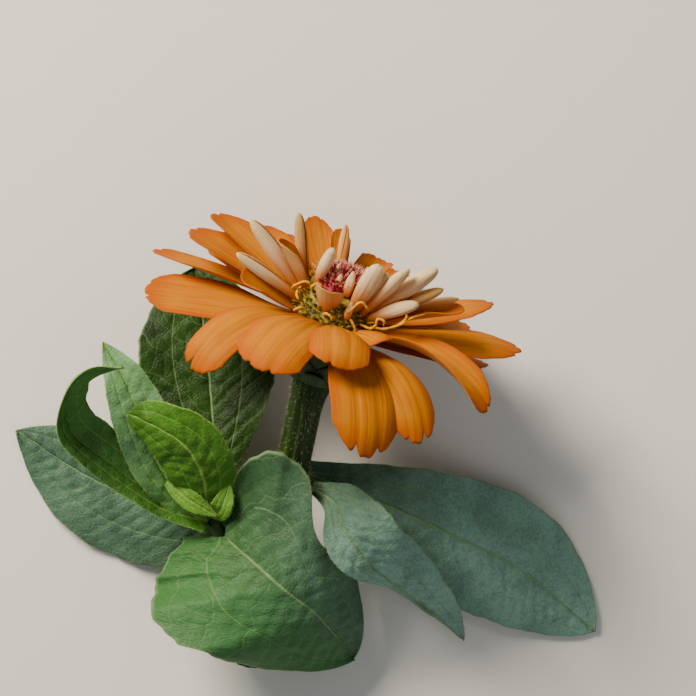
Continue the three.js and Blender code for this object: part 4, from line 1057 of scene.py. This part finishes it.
# the key before fresh is how much bluish painted sheen, standing for reflected sky, lies on each leaf
SHOOT_LEAVES = [
    {"midrib": [(-31, -39, 17.5), (-42.4, -33.2, 19), (-53, -25.1, 24), (-60.3, -18.3, 30), (-61, -10.8, 36),
                (-57, -5.6, 38.5), (-48.9, -4.1, 34)],
     "wide": 14, "face": (0.2, 0.3, 0.9), "fold": 20, "wave": 0.5, "waves": 4, "base": 0.6, "full_at": 0.4,
     "twist": 10, "style_wax_and_leaf_painted_sheen": 0.1, "fresh": 0.2, "other": {"wide": 10}},
    {"midrib": [(-34.5, -36.2, 17.5), (-41.4, -26.9, 22), (-45.1, -17, 25), (-49.2, -7, 25.5),
                (-54, 1.3, 23.5)],
     "wide": 13, "fold": 12, "wave": 0.5, "waves": 4, "base": 0.5, "full_at": 0.5, "style_wax_and_leaf_painted_sheen": 0.35, "fresh": 0.5},
    {"midrib": [(-31.2, -36, 19), (-31.9, -28.5, 26), (-35.2, -21.8, 30.5), (-41.4, -17.4, 31.5),
                (-48, -14.4, 29)],
     "wide": 16, "fold": -8, "wave": 0.4, "base": 0.5, "point": 0.55, "style_wax_and_leaf_painted_sheen": 0.0, "fresh": 0.3},
    {"midrib": [(-29.6, -38, 18), (-27.8, -35, 22), (-26, -30, 23)], "wide": 5, "fold": 10, "wave": 0.2,
     "waves": 2, "style_wax_and_leaf_painted_sheen": 0.0, "fresh": 0.8},
    {"midrib": [(-40, -29.6, 22.5), (-34.8, -33.6, 23.5), (-29, -37.2, 22)], "wide": 4.5, "fold": 10,
     "wave": 0.2, "waves": 2, "style_wax_and_leaf_painted_sheen": 0.0, "fresh": 0.8},
]

rng = np.random.default_rng(43)
young_leaf = leaf_material("young_leaf_blade", "#467A20", "#2B5614", "#6CA43A", "#9CC460", "#7CA84C", 0.22)
blades = []
fringe = []
for shape in SHOOT_LEAVES:
    small = shape["wide"] < SMALL_LEAF
    blade, edge, away = leaf(shape, rng, SMALL_GRID if small else YOUNG_GRID)
    blades.append(blade)
    fringe.append(margin_hairs(edge, away, rng, SMALL_HAIRS if small else YOUNG_HAIRS, YOUNG_HAIR_LONG))
shares = np.linspace(0, 1, SHOOT_STEPS)
places, along, run = spline(SHOOT_LINE, shares)
turns = full_turn(SHOOT_SIDES)
ridges = 1 + SHOOT_RIDGE_HIGH * np.cos(SHOOT_RIDGES * turns)
radius = (SHOOT_RADIUS - SHOOT_TAPER * shares)[:, None] * ridges
radius[0] = radius[-1] = 0
shoot_stem = tube(places, along, radius, noted(grain=(turns * SHOOT_RADIUS, shares[:, None] * run, 3.0)))
add_piece("side_shoot_leaves", joined(blades), [young_leaf], "young_leaf_green", "side_shoot")
add_piece("side_shoot_stem", shoot_stem, [rind], "young_leaf_green", "side_shoot")
add_piece("side_shoot_hairs", joined(fringe), [hair], "young_leaf_green")

# ---- Studio ----
# A floor in plain matt paint under the flower, one large soft lamp from beyond the bloom, a weaker
# one from the near side, and an even pale sky. Its sizes are metres.
FLOOR_REACH = 1.5
FLOOR_GAP = 0.0002
LAMP_AIM = (0, 0, 0.02)
# name, place, width, watts, tint
LAMPS = (("key", (-0.42, 0.52, 0.5), 0.35, 14.5, "#FFF1DC"), ("fill", (0.35, -0.5, 0.7), 0.9, 1.6, "#F4F2EC"))
SKY_TINT = "#E9EEF2"
SKY = 0.22

floor_mesh = bpy.data.meshes.new("floor")
corners = [(-FLOOR_REACH, -FLOOR_REACH, 0), (FLOOR_REACH, -FLOOR_REACH, 0),
           (FLOOR_REACH, FLOOR_REACH, 0), (-FLOOR_REACH, FLOOR_REACH, 0)]
floor_mesh.from_pydata(corners, [], [(0, 1, 2, 3)])
material, tree = new_material("floor_paint")
paint = add(tree, "BsdfPrincipled", {"Base Color": "#E8E7E3", "Roughness": 0.9})
add(tree, "OutputMaterial", {0: paint[0]})
floor_mesh.materials.append(material)
floor = bpy.data.objects.new("floor", floor_mesh)
floor.location.z = -FLOOR_GAP
bpy.context.scene.collection.objects.link(floor)

for name, place, wide, watts, tint in LAMPS:
    lamp = bpy.data.objects.new(name, bpy.data.lights.new(name, "AREA"))
    lamp.data.size = wide
    lamp.data.energy = watts
    lamp.data.color = linear(tint)[:3]
    lamp.location = place
    lamp.rotation_euler = (Vector(LAMP_AIM) - Vector(place)).to_track_quat("-Z", "Y").to_euler()
    bpy.context.scene.collection.objects.link(lamp)

world = bpy.data.worlds.new("studio")
world.use_nodes = True
sky = world.node_tree.nodes["Background"]
sky.inputs["Color"].default_value = linear(SKY_TINT)
sky.inputs["Strength"].default_value = SKY
bpy.context.scene.world = world
